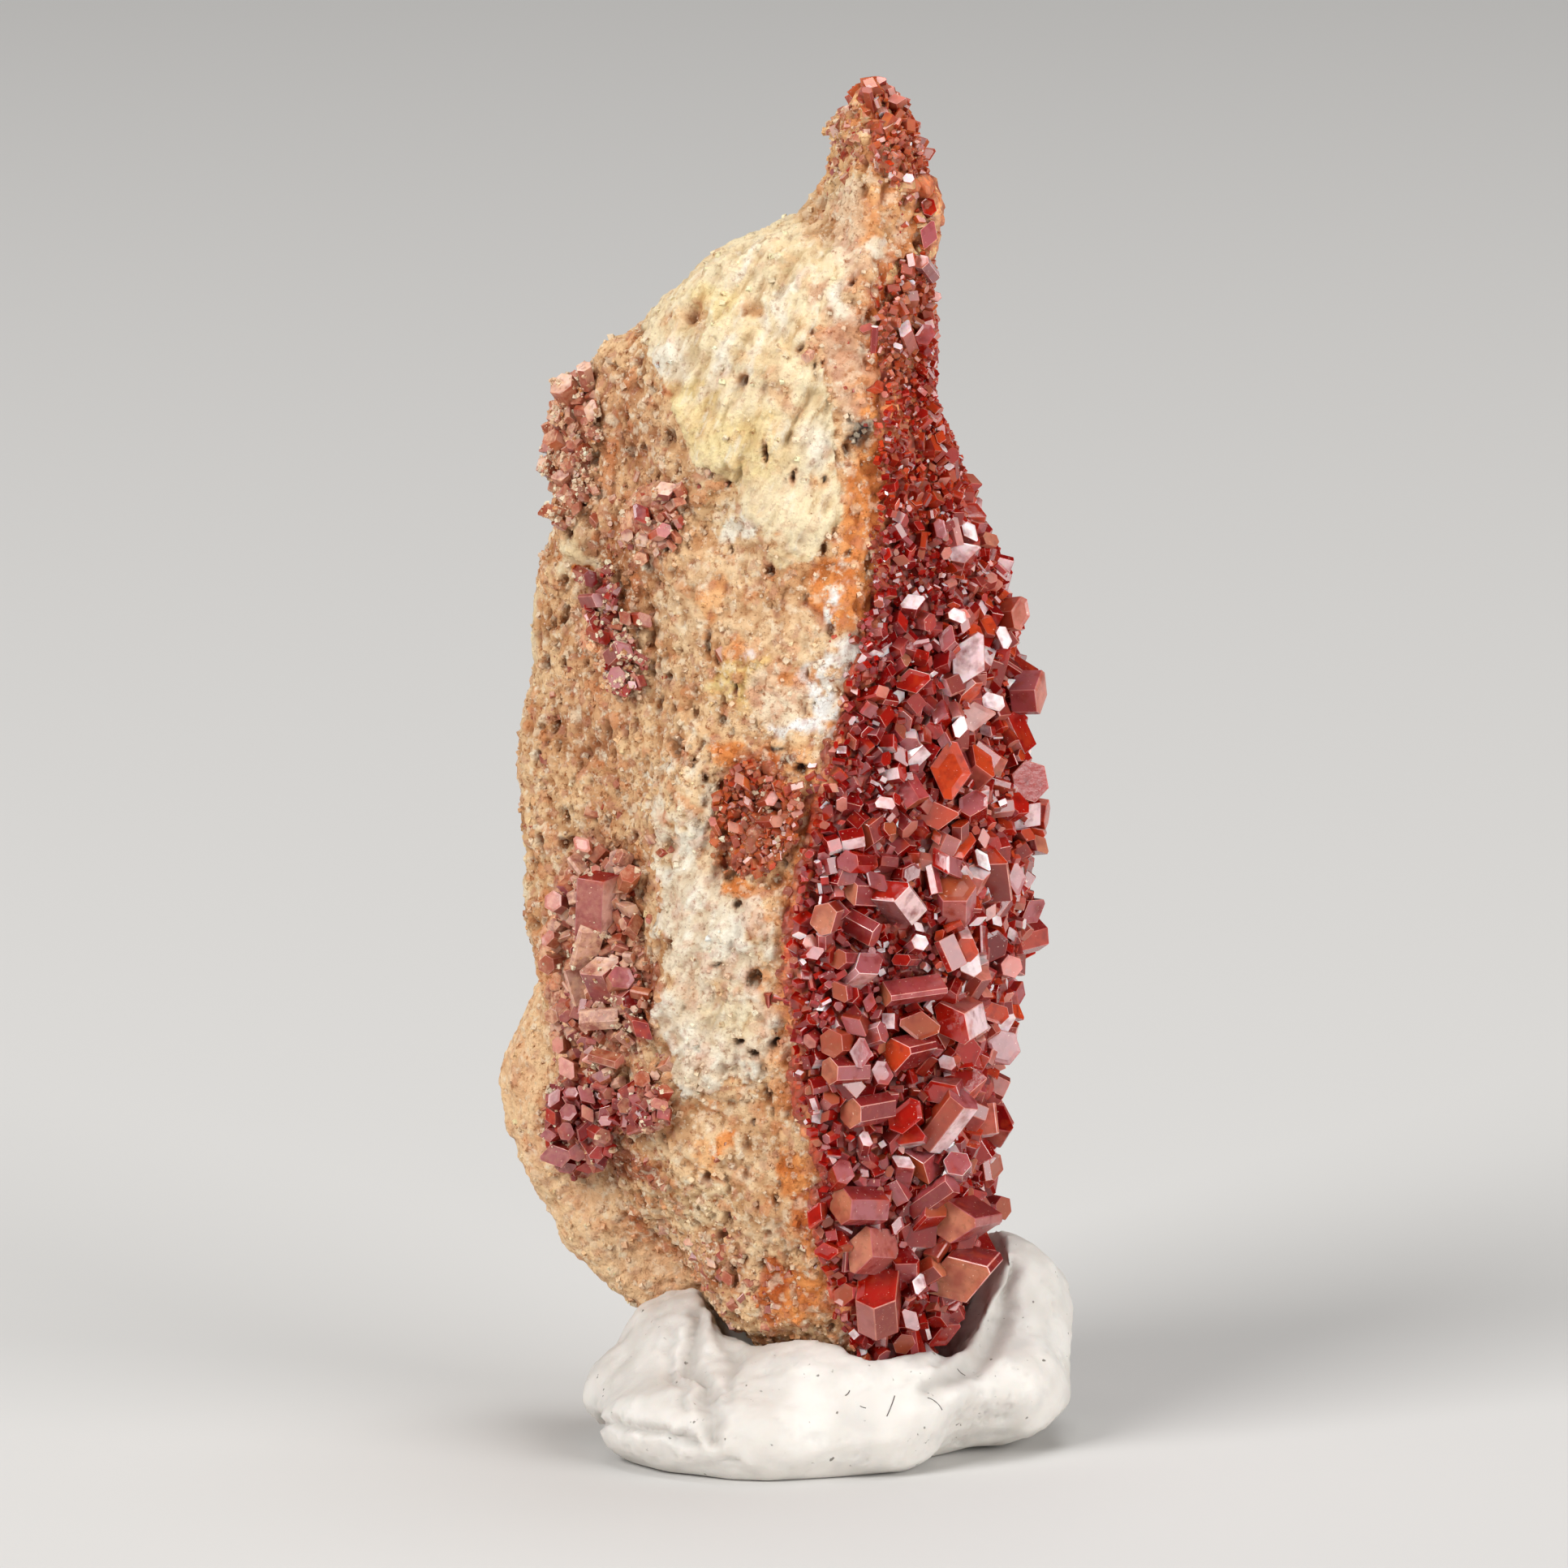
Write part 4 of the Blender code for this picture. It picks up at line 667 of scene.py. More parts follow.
class Pile:
    """Closed bodies gathered in one mesh. Each face has its own tint, with its dullness as a fourth value."""

    def __init__(self):
        self.points = []
        self.faces = []
        self.tints = []
        self.count = 0

    def add(self, points, faces, tints):
        """Add one body. Its faces count its own points from 0."""
        self.points.append(points)
        self.faces.extend([[corner + self.count for corner in face] for face in faces])
        self.tints.extend(tints)
        self.count += len(points)

    def make(self, name):
        """All bodies as one object with this name."""
        mesh = bpy.data.meshes.new(name)
        mesh.from_pydata((np.concatenate(self.points) * MM).tolist(), [], self.faces)
        sizes = [len(face) for face in self.faces]
        corners = np.repeat(np.array(self.tints, np.float32), sizes, axis=0)
        tint = mesh.color_attributes.new("tint", "FLOAT_COLOR", "CORNER")
        tint.data.foreach_set("color", corners.ravel())
        mesh.update()
        return new_object(name, mesh)


# Places on the front plane

def on_front_plane(points):
    """Across and up where the camera's line of sight to each point crosses the front plane."""
    eye = np.array(VIEWPOINT)
    reach = (FRONT_PLANE - eye[1]) / (points[:, 1] - eye[1])
    seen = eye + (points - eye) * reach[:, None]
    return seen[:, 0], seen[:, 2]


def inside_outline(x, z, outline):
    """Which places lie inside a closed outline, by how often a level line from them crosses it."""
    inside = np.zeros(len(x), bool)
    for (x0, z0), (x1, z1) in zip(outline, outline[1:] + outline[:1]):
        if z0 == z1:
            continue
        crosses = ((z0 > z) != (z1 > z)) & (x < x0 + (z - z0) / (z1 - z0) * (x1 - x0))
        inside ^= crosses
    return inside


def oval_reach(x, z, spot):
    """Distance from an oval's middle: 1 on its rim."""
    across, up, half_width, half_height = spot[:4]
    tilt = math.radians(spot[4]) if len(spot) > 5 else 0.0
    dx, dz = x - across, z - up
    along = dx * math.cos(tilt) - dz * math.sin(tilt)
    over = dx * math.sin(tilt) + dz * math.cos(tilt)
    return np.hypot(along / half_width, over / half_height)


def sight_to(x, z):
    """The direction in which the camera sees a place on the front plane."""
    return (Vector((x, FRONT_PLANE, z)) - VIEWPOINT).normalized()


def seen_point(x, z, tree):
    """The surface point met by the line of sight, or the line's nearest point when it passes by."""
    sight = sight_to(x, z)
    hit = tree.ray_cast(VIEWPOINT, sight)[0]
    if hit is None:
        passing = VIEWPOINT + sight * ((2.0 - VIEWPOINT.y) / sight.y)
        nearest = tree.find_nearest(passing)[0]
        hit = VIEWPOINT + sight * (nearest - VIEWPOINT).dot(sight)
    return hit


# The rock

def edge_at(z, edge):
    """How far across an edge lies at these heights."""
    return np.interp(z, *np.array(edge).T)


def druse_depth(points):
    """How far right of the druse's left edge each point is; negative outside it."""
    x, y, z = points.T
    front, back = edge_at(z, DRUSE_FRONT), edge_at(z, DRUSE_BACK)
    share = np.clip((y - DRUSE_FRONT_DEPTH) / (DRUSE_BACK_DEPTH - DRUSE_FRONT_DEPTH), 0.0, 1.0)
    edge = x - (front + (back - front) * share) + 1.4 * ramp(y, 2.5, 6.0) * rugged(points, *EDGE_SWAY)
    return np.where(z > DRUSE_FRONT[0][0], edge, -9.0)


def bare_spots(points):
    """1 where there is bare stone within the druse."""
    x, z = on_front_plane(points)
    sway = 0.5 * rugged(points, *BARE_SWAY)
    best = np.zeros(len(points))
    for spot in BARE_SPOTS:
        best = np.maximum(best, 1.0 - ramp(oval_reach(x + sway, z + sway, spot), 0.8, 1.05))
    return best


def lay(state, look, share):
    """Lay a look over what is there, by this share."""
    state["colour"] = mixed(state["colour"], look.colour, share)
    state["mottle"] = mixed(state["mottle"], look.mottle, share)
    for part in ("grain", "pits", "sprinkle"):
        state[part] = state[part] + (getattr(look, part) - state[part]) * share


def plain_state(look, count):
    """One look at all of this many points."""
    state = {part: np.full(count, getattr(look, part)) for part in ("grain", "pits", "sprinkle")}
    state["colour"] = np.tile(look.colour, (count, 1))
    state["mottle"] = np.tile(look.mottle, (count, 1))
    return state


def lay_behind(state, points):
    """The looks of the back, which has softer pits."""
    behind = ramp(points[:, 1], 1.5, 3.0)
    lay(state, BUFF, behind * ramp(rugged(points, *BUFF_AREAS), -0.2, 0.5))
    lay(state, CREAM, behind * ramp(rugged(points, *CREAM_AREAS), 0.1, 0.6))
    bulge = behind * ramp(-points[:, 0], 3.0, 5.0) * ramp(-points[:, 2], -25.0, -20.0)
    lay(state, PEACH, bulge)
    state["pits"] = state["pits"] * (1.0 - 0.6 * behind)


def lay_slabs(state, points, x, z, sway, rise, front):
    """The two slabs with their patches. Returns how much of the upper and of the lower one there is."""
    upper = inside_outline(x + 0.35 * sway, z + 0.5 * rise, PALE_SLAB) * front
    upper *= ramp(rugged(points, *UPPER_GAPS), -1.2, -0.8)
    lower = inside_outline(x + 1.3 * sway, z + 1.3 * rise, WHITE_SLAB) * front
    lower *= ramp(rugged(points, *LOWER_GAPS), -0.7, -0.1)
    lay(state, CREAM, upper)
    lay(state, WHITE, lower)
    for spot in SLAB_PATCHES:
        reach = oval_reach(x + sway, z + rise, spot)
        lay(state, spot[5], (1.0 - ramp(reach, 0.5, 1.2)) * np.maximum(upper, lower) * 0.9)
    return upper, lower


def rock_state(points):
    """The look of the matrix at each point, with the shares of the two slabs and of the horn's bare crust."""
    state = plain_state(SAND, len(points))
    lay_behind(state, points)
    x, z = on_front_plane(points)
    sway = 0.55 * rugged(points, *SIDEWAYS_SWAY)
    rise = 0.55 * rugged(points, *UPWARDS_SWAY)
    front = 1.0 - ramp(points[:, 1], 1.0, 3.0)
    for spot in PATCHES:
        reach = oval_reach(x + sway, z + rise, spot)
        lay(state, spot[5], (1.0 - ramp(reach, 0.7, 1.1)) * front)
    upper, lower = lay_slabs(state, points, x, z, sway, rise, front)
    depth = druse_depth(points) + 0.6 * sway
    lay(state, OCHRE, ramp(depth, -2.2, -0.7) * 0.6 * ramp(rugged(points, *OCHRE_STAIN), -0.4, 0.5))
    stain = 0.35 + 0.5 * ramp(rugged(points, *RUST_STAIN), -0.5, 0.5)
    lay(state, RUST, ramp(depth, -0.9, 0.0) * stain)
    dusting = ramp(rugged(points, *POWDER_GAPS), -0.7, 0.0) * front
    for spot in POWDER_SPOTS:
        lay(state, POWDER, (1.0 - ramp(oval_reach(x + sway, z + rise, spot), 0.7, 1.3)) * dusting)
    bare = bare_spots(points) * ramp(depth, -1.0, 0.5)
    lay(state, APRICOT, bare)
    lay(state, HORN_SAND, bare * ramp(-x, -3.6, -2.6) * ramp(z, 60.5, 61.5))
    lay(state, CREAM, bare * ramp(x, 5.3, 5.8))
    state.update(upper=upper, lower=lower, bare=bare)
    return state


def streaks(points):
    """Ridges and gouges of the slabs, drawn out upwards and to the right."""
    x, y, z = points.T
    tilt = math.radians(STREAK_TILT)
    along = x * math.sin(tilt) + z * math.cos(tilt)
    across = x * math.cos(tilt) - z * math.sin(tilt)
    drawn = np.column_stack((across + 0.25 * rugged(points, *STREAK_WARP), y, along * 0.22))
    return 1.0 - 2.2 * np.abs(rugged(drawn, *STREAK_RIDGES))


def rock_relief(points, state):
    """How far it stands out, how deep its pits are, its height tone for painted shade and highlights, and its
    grains' numbers.
    """
    grain = state["grain"]
    slab = np.maximum(state["upper"], state["lower"])
    broad = BROAD_RISE * rugged(points, *BROAD_SWELL) + BROKEN_RISE * rugged(points, *BROKEN_SWELL)
    warped = points + 0.15 * rugged(points, *CELL_WARP)[:, None]
    near, number = cells(warped, *CRUMB_CELLS)
    crumbs = CRUMB_RISE * (LEVEL - near) + CRUMB_STEP * (number - 0.5)
    near, grit_number = cells(warped, *GRIT_CELLS)
    grit = GRIT_RISE * (LEVEL - near)
    near, pit_number = cells(warped * (1.0, 1.0, 0.55), *PIT_CELLS)
    pits = np.where(pit_number > 0.40, 1.0 - ramp(near, 0.12, 0.34), 0.0) * (0.2 + 0.5 * pit_number)
    near, pit_number = cells(warped * (1.0, 1.0, 0.40), *SMALL_PIT_CELLS)
    pits = np.maximum(pits, np.where(pit_number > 0.55, 1.0 - ramp(near, 0.14, 0.36), 0.0) * 0.35)
    pits *= state["pits"]
    ridges = streaks(points)
    flakes = rugged(points * (1.0, 1.0, 0.7), *FLAKES)
    relief = broad + (crumbs + grit) * grain - pits
    lower_relief = LOWER_RIDGE_RISE * ridges + FLAKE_RISE * flakes
    relief += UPPER_RIDGE_RISE * ridges * state["upper"] + lower_relief * state["lower"]
    relief += BARE_RISE * state["bare"]
    # The tone follows the height of grains and slab ridges, with a little noise: it drives painted shade and
    # highlights.
    tone = (crumbs + grit) / GRIT_RISE * grain + (0.8 * ridges - 0.2) * slab * 0.9
    tone += 0.3 * rugged(points, *FINE_TONE)
    return relief, pits, tone, (number, grit_number)


def open_pores(points, state, relief):
    """Holes and dents of the front, with painted shade in them, and soot specks."""
    x, z = on_front_plane(points)
    jitter = 0.10 * rugged(points, *PORE_JITTER)
    front = points[:, 1] < 1.0
    for pore in PORES:
        reach = oval_reach(x + jitter, z + jitter, pore)
        hole = (1.0 - ramp(reach, 0.6, 1.15)) * front
        relief -= hole * pore[4]
        state["colour"] = mixed(state["colour"], OCHRE.mottle, (1.0 - ramp(reach, 1.0, 2.0)) * front * 0.5)
        # Painted shade: each hole's floor is darkened, less in wide holes.
        floor = PORE_SHADE if pore[2] < WIDE_PORE else BROWN.colour
        state["colour"] = mixed(state["colour"], floor, hole * 0.9)
        state["mottle"] = mixed(state["mottle"], floor, hole * 0.9)
    for dent in DENTS:
        hollow = (1.0 - ramp(oval_reach(x + jitter, z + jitter, dent), 0.2, 1.2)) * front
        relief -= hollow * dent[4]
        # Painted shade: a dent's hollow is darkened towards the mottle colour.
        state["colour"] = mixed(state["colour"], state["mottle"], hollow * 0.6)
    for speck in SPECKS:
        spot = (1.0 - ramp(oval_reach(x + 2.0 * jitter, z + jitter, speck), 0.7, 1.1)) * front
        state["colour"] = mixed(state["colour"], SOOT.mottle, spot * 0.95)


def rock_colours(points, state, pits, tone, numbers):
    """Mottling, painted shade in low places and on pit floors, painted highlights on grain tops, and grains
    of other colours.
    """
    grain = state["grain"]
    blotch = ramp(rugged(points, *MOTTLING), -0.3, 0.8)
    colours = mixed(state["colour"], state["mottle"], blotch * 0.6)
    # Painted shade: low places between grains are darkened.
    colours = mixed(colours, state["mottle"] * 0.8, ramp(-tone, -0.1, 1.1) * 0.75)
    # Painted highlight: high grain tops are paled.
    colours = mixed(colours, PALE_GRAIN_AND_TOP_HIGHLIGHT, ramp(tone, 0.35, 1.5) * (0.25 + 0.2 * grain))
    colours = mixed(colours, RUSTY_GRAIN, (numbers[0] > 0.86) * grain * 0.40)
    colours = mixed(colours, ROSY_GRAIN, (numbers[1] < 0.12) * grain * 0.45)
    colours = mixed(colours, PALE_GRAIN_AND_TOP_HIGHLIGHT, (numbers[1] > 0.90) * grain * 0.50)
    # Painted shade on the floors of pits.
    return mixed(colours, PIT_SHADE, np.clip(pits * 2.2, 0.0, 0.80))


def refine(obj):
    """Split the faces outside the druse, in three where the camera sees them and in two elsewhere."""
    bm = bmesh.new()
    bm.from_mesh(obj.data)
    bm.faces.ensure_lookup_table()
    middles = np.array([face.calc_center_median() for face in bm.faces]) / MM
    open_faces = ((druse_depth(middles) < 0.9) | (bare_spots(middles) > 0.1)) & (middles[:, 2] > TACK_LINE)
    seen, unseen = set(), set()
    for face, is_open in zip(bm.faces, open_faces):
        if is_open:
            group = seen if face.normal.y < -0.05 else unseen
            group.update(edge.index for edge in face.edges)
    fine = [edge for edge in bm.edges if edge.index in seen]
    medium = [edge for edge in bm.edges if edge.index in unseen - seen]
    bmesh.ops.subdivide_edges(bm, edges=fine, cuts=2, use_grid_fill=True)
    medium = [edge for edge in medium if edge.is_valid]
    bmesh.ops.subdivide_edges(bm, edges=medium, cuts=1, use_grid_fill=True)
    axes = {"use_axis_x": True, "use_axis_y": True, "use_axis_z": True}
    for repeat in range(4):
        bmesh.ops.smooth_vert(bm, verts=bm.verts, factor=0.5, **axes)
    bm.to_mesh(obj.data)
    bm.free()


def build_rock():
    """The whole matrix in one mesh, with its sprinkle of crystals at each point."""
    rock = remeshed_node("matrix_rock", "whole_matrix", ROCK_PITCH, smoothing=3)
    refine(rock)
    points, normals = points_and_normals(rock.data)
    state = rock_state(points)
    relief, pits, tone, numbers = rock_relief(points, state)
    open_pores(points, state, relief)
    move_points(rock.data, points + normals * relief[:, None])
    colours = rock_colours(points, state, pits, tone, numbers)
    paint_points(rock.data, colours, 0.15 + 0.85 * np.clip(state["grain"], 0.0, 1.0))
    make_smooth(rock.data)
    state["painted"] = colours
    return rock, state


def half_of(obj, name, side):
    """The part of a piece on one side of the seam, closed by a flat face there."""
    bm = bmesh.new()
    bm.from_mesh(obj.data)
    everything = bm.verts[:] + bm.edges[:] + bm.faces[:]
    cut = bmesh.ops.bisect_plane(bm, geom=everything, dist=1e-7, plane_co=(0.0, SEAM * MM, 0.0),
                                 plane_no=(0.0, side, 0.0), clear_outer=True)
    rim = [part for part in cut["geom_cut"] if isinstance(part, bmesh.types.BMEdge)]
    filled = bmesh.ops.holes_fill(bm, edges=rim, sides=0)
    for face in filled["faces"]:
        face.smooth = False
    for edge in rim:
        edge.smooth = False
    mesh = bpy.data.meshes.new(name)
    bm.to_mesh(mesh)
    bm.free()
    return new_object(name, mesh)


def add_blocks(pile, places, normals, radii, tints, rng):
    """Angular grains: cubes with their corners pulled in by chance, in uneven tones."""
    count = len(places)
    leans = leaning(normals, GRAIN_LEAN, rng)
    frames = np.stack(prism_frames(leans, rng.uniform(0.0, math.pi, count)), axis=1)
    block = np.array(list(itertools.product((-1.0, 1.0), repeat=3)))
    shapes = block * rng.uniform(0.45, 1.0, (count, 8, 3)) * radii[:, None, None]
    points = places[:, None, :] + np.einsum("nij,njk->nik", shapes, frames)
    faces = [[0, 1, 3, 2], [4, 6, 7, 5], [0, 4, 5, 1], [2, 3, 7, 6], [0, 2, 6, 4], [1, 5, 7, 3]]
    tints = tints * rng.uniform(0.85, 1.30, (count, 1))
    tints = np.clip(mixed(tints, PALE_GRAIN_AND_TOP_HIGHLIGHT, rng.uniform(size=count) ** 3 * 0.8), 0.0, 1.0)
    for index in range(count):
        pile.add(points[index], faces, [(*tints[index], 1.0)] * len(faces))


def add_dusting(pile, piece, count, rng):
    """Sand in clusters on the faces of a piece of crystals that look forward or up."""
    places, normals = random_places(piece.data, DUST_TRIES * count, rng)[:2]
    clusters = ramp(rugged(places, *DUST_CLUSTERS), -0.2, 0.6)
    lit = (normals[:, 1] < -0.1) | (normals[:, 2] > 0.3)
    chosen = np.flatnonzero(lit & (rng.uniform(size=len(places)) < clusters))[:count]
    radii = 0.03 + 0.13 * rng.uniform(size=len(chosen)) ** 3
    tints = mixed(np.tile(PALE_GRAIN_AND_TOP_HIGHLIGHT, (len(chosen), 1)), SAND.mottle, rng.uniform(size=len(chosen)))
    add_blocks(pile, places[chosen], normals[chosen], radii, tints, rng)


def build_grains(rock, state, pieces):
    """Loose angular grains, coloured like the stone under them, and sand on these pieces of crystals."""
    pile = Pile()
    rng = np.random.default_rng(GRAIN_SEED)
    places, normals, corner = random_places(rock.data, GRAIN_TRIES, rng)
    inside = (druse_depth(places) < 0.6) & (places[:, 2] > TACK_LINE) & (places[:, 1] < 4.0)
    inside |= state["bare"][corner] > 0.5
    inside &= rng.uniform(size=len(places)) < 0.30 * state["grain"][corner] ** 1.5
    places, normals, corner = picked(inside, places, normals, corner)
    radii = 0.04 + 0.15 * rng.uniform(size=len(places)) ** 3
    kept = with_room(places, radii, GRAIN_ROOM)[:GRAIN_COUNT]
    places, normals, radii, corner = picked(kept, places, normals, radii, corner)
    add_blocks(pile, places, normals, radii, state["painted"][corner], rng)
    for piece, count in zip(pieces, DUSTINGS):
        add_dusting(pile, piece, count, rng)
    return pile.make("matrix_grains")


# Crystals

def prism_frames(axes, spins):
    """Local directions of each crystal, its axis last, with a corner of the hexagon upwards at spin 0."""
    side = np.cross((0.0, 0.0, 1.0), axes)
    small = np.linalg.norm(side, axis=1) < 0.05
    side[small] = (1.0, 0.0, 0.0)
    side /= np.linalg.norm(side, axis=1)[:, None]
    over = np.cross(axes, side)
    cos, sin = np.cos(spins)[:, None], np.sin(spins)[:, None]
    return side * cos + over * sin, over * cos - side * sin, axes


def hexagon_corners(distances):
    """Where neighbouring sides meet, and each side's direction, from six distances to the axis a crystal."""
    angles = np.arange(HEXAGON) * math.pi / 3
    out = np.column_stack((np.cos(angles), np.sin(angles)))
    along = np.column_stack((-np.sin(angles), np.cos(angles)))
    ahead = np.roll(distances, -1, axis=1)
    run = (ahead - distances * 0.5) / math.sin(math.pi / 3)
    return distances[..., None] * out + run[..., None] * along, along


def cut_ring(distances, cut):
    """A hexagon with each corner cut off: twelve points a crystal."""
    corners, along = hexagon_corners(distances)
    before = corners - cut[:, None, None] * along
    after = corners + cut[:, None, None] * np.roll(along, -1, axis=0)
    return np.stack((before, after), axis=2).reshape(len(distances), 2 * HEXAGON, 2)


def ring_faces(rings, sides):
    """Side faces between stacked rings of this many points, then the bottom and the top."""
    faces = []
    for ring in range(rings - 1):
        for i in range(sides):
            j = (i + 1) % sides
            low, high = ring * sides, (ring + 1) * sides
            faces.append([low + i, low + j, high + j, high + i])
    faces.append(list(range(sides))[::-1])
    faces.append(list(range((rings - 1) * sides, rings * sides)))
    return faces


Crystals = namedtuple("Crystals", "bases axes radii lengths spins ends sides dull_ends dull_sides")
# How much work goes into a crystal: plain, with a painted highlight rimming its end, or with all its edges
# bevelled and highlighted.
PLAIN, RIMMED, BEVELLED = range(3)


def face_tints(end, side, moods, rng, level):
    """Tints of one crystal's faces in the order of ring_faces. Some sides carry a painted glint or
    reflection, others look deep.
    """
    plain = []
    for mood in rng.uniform(size=HEXAGON):
        tone = np.array(side[:3]) * rng.uniform(*TINT_SPREAD)
        for least, colour, share in moods:
            if mood > least:
                tone = (1.0 - share) * tone + share * np.array(colour)
                break
        plain.append((*np.clip(tone, 0.0, 1.0), side[3]))
    if level == PLAIN:
        return plain + [end, end]
    # Painted highlight: rims and bevels are mixed towards a pale edge colour.
    glint = rng.choice(GLINTS)
    edge_highlight = (*(np.array(side[:3]) * (1.0 - glint) + np.array(EDGE_HIGHLIGHT) * glint), side[3])
    if level == RIMMED:
        return plain + [edge_highlight] * HEXAGON + [end, end]
    around = [edge_highlight] * (2 * HEXAGON)
    walls = [plain[(i // 2 + 1) % HEXAGON] if i % 2 else edge_highlight for i in range(2 * HEXAGON)]
    return around + walls + around + [end] * (2 * HEXAGON) + [end, end]


def side_distances(radii, rng):
    """How far the six sides are from the axis. Two opposite ones may be so narrow that it looks a box."""
    count = len(radii)
    each = np.arange(count)
    distances = radii[:, None] * math.cos(math.pi / 6) * rng.uniform(*SIDE_SHARES, (count, HEXAGON))
    boxy = rng.uniform(size=count) < BOXY_SHARE
    share = np.where(boxy, rng.uniform(*BOXY_SHARES, count), rng.uniform(*OTHER_SHARES, count))
    first = rng.integers(0, 3, count)
    for side in (first, first + 3):
        beside = distances[each, side - 1] + distances[each, (side + 1) % HEXAGON]
        distances[each, side] = beside * share
    return distances * np.where(boxy, BOXY_SCALE, 1.0)[:, None]


def prism_outlines(radii, lengths, rng, level):
    """The rings of each prism from its root up: an outline around the axis, and the height above the root."""
    distances = side_distances(radii, rng)
    corners = hexagon_corners(distances)[0]
    foot = np.zeros(len(radii))
    if level == PLAIN:
        return [(corners, foot), (corners, lengths)]
    if level == RIMMED:
        cut = radii * RIM_WIDTH
        return [(corners, foot), (corners, lengths - cut),
                (hexagon_corners(distances - cut[:, None])[0], lengths)]
    cut = radii * BEVEL_WIDTH
    dish = radii * rng.uniform(*DISH_DEPTHS, len(radii))
    middle = distances * rng.uniform(*DISH_WIDTHS, (len(radii), 1))
    wall = cut_ring(distances, cut)
    inset = cut_ring(distances - cut[:, None], cut * 0.6)
    return [(inset, foot), (wall, cut), (wall, lengths - cut), (inset, lengths),
            (cut_ring(middle, cut * 0.6), lengths + dish)]


def add_crystals(pile, crystals, moods, seed, level):
    """Uneven hexagonal prisms. Bevelled ones have narrow edges with a painted highlight and a shallow dish in
    the end.
    """
    if len(crystals.radii) == 0:
        return
    rng = np.random.default_rng(seed)
    outlines = prism_outlines(crystals.radii, crystals.lengths, rng, level)
    across, over, axes = prism_frames(crystals.axes, crystals.spins)
    rings = []
    for outline, height in outlines:
        ring = crystals.bases[:, None, :] + outline[..., 0:1] * across[:, None, :]
        ring = ring + outline[..., 1:2] * over[:, None, :] + height[:, None, None] * axes[:, None, :]
        rings.append(ring)
    points = np.concatenate(rings, axis=1)
    faces = ring_faces(len(rings), rings[0].shape[1])
    for index in range(len(points)):
        end = (*crystals.ends[index], crystals.dull_ends[index])
        side = (*crystals.sides[index], crystals.dull_sides[index])
        pile.add(points[index], faces, face_tints(end, side, moods, rng, level))


def axis_from(yaw, pitch):
    """The direction that faces the viewer when both angles are zero, turned right and raised by them."""
    turn, rise = math.radians(yaw), math.radians(pitch)
    return Vector((math.sin(turn) * math.cos(rise), -math.cos(turn) * math.cos(rise), math.sin(rise)))


def root_at(point, sight, tree):
    """How far back a crystal may reach into the rock without coming out behind it."""
    behind = tree.ray_cast(point + sight * THIN, sight)[0]
    if behind is None:
        return THIN
    return min(ROOT, max(THIN, (behind - point).length - 2.0 * CRUST_TOP - THIN))


def tints_of(pairs, place):
    """Colours and dullnesses by the first or second letter of each pair."""
    colours, dullnesses = zip(*(TINTS[pair[place]] for pair in pairs))
    return np.array(colours), np.array(dullnesses)


def seen_crystals(rows, tree, sunk=0.0):
    """Crystals on the lines of sight through their places, sunk into the crust this far."""
    bases, axes, roots = [], [], []
    for x, z, radius, length, yaw, pitch in (row[:6] for row in rows):
        axis = axis_from(yaw, pitch)
        sight = sight_to(x, z)
        facing = max(0.0, -axis.dot(sight))
        point = seen_point(x, z, tree)
        middle = point + sight * (sunk - (facing * length + (1.0 - facing) * radius) / 2)
        roots.append(root_at(point, sight, tree) * facing)
        bases.append(middle - axis * (length / 2 + roots[-1]))
        axes.append(axis)
    radii, lengths = np.array([row[2:4] for row in rows]).T
    pairs = [row[7] for row in rows]
    (ends, dull_ends), (sides, dull_sides) = tints_of(pairs, 0), tints_of(pairs, 1)
    return Crystals(np.array(bases), np.array(axes), radii, lengths + np.array(roots),
                    np.radians([row[6] for row in rows]), ends, sides, dull_ends, dull_sides)


def heads_of(crystals):
    """Places just under the crystals' ends."""
    return crystals.bases + crystals.axes * ((crystals.lengths - crystals.radii * 0.5)[:, None])


def leaning(normals, most, rng):
    """Directions around the normals, evenly spread within this many degrees of them."""
    sideways = np.cross(normals, rng.normal(size=normals.shape))
    sideways /= np.linalg.norm(sideways, axis=1)[:, None]
    lean = np.arccos(rng.uniform(math.cos(math.radians(most)), 1.0, len(normals)))[:, None]
    return normals * np.cos(lean) + sideways * np.sin(lean)


def random_places(mesh, count, rng):
    """Evenly scattered places on a mesh, each with the normal and the first corner of its triangle."""
    mesh.calc_loop_triangles()
    triangles = np.zeros(len(mesh.loop_triangles) * 3, int)
    mesh.loop_triangles.foreach_get("vertices", triangles)
    triangles = triangles.reshape(-1, 3)
    points = points_and_normals(mesh)[0]
    a, b, c = (points[triangles[:, i]] for i in range(3))
    crossed = np.cross(b - a, c - a)
    areas = np.linalg.norm(crossed, axis=1)
    chosen = rng.choice(len(triangles), count, p=areas / areas.sum())
    first, second = np.sort(rng.uniform(size=(2, count)), axis=0)
    places = a[chosen] * first[:, None] + b[chosen] * (second - first)[:, None]
    places += c[chosen] * (1 - second)[:, None]
    return places, crossed[chosen] / areas[chosen][:, None], triangles[chosen, 0]


def with_room(places, radii, closeness, taken=None, taken_radii=None):
    """Which places, taken in turn, keep clear of the ones taken before them."""
    count = 0 if taken is None else len(taken)
    store = np.zeros((count + len(places), 3))
    sizes = np.zeros(len(store))
    if count:
        store[:count] = taken
        sizes[:count] = taken_radii
    kept = []
    for index, (place, radius) in enumerate(zip(places, radii)):
        gaps = np.linalg.norm(store[:count] - place, axis=1)
        if np.all(gaps > closeness * (sizes[:count] + radius)):
            store[count] = place
            sizes[count] = radius
            count += 1
            kept.append(index)
    return np.array(kept, int)


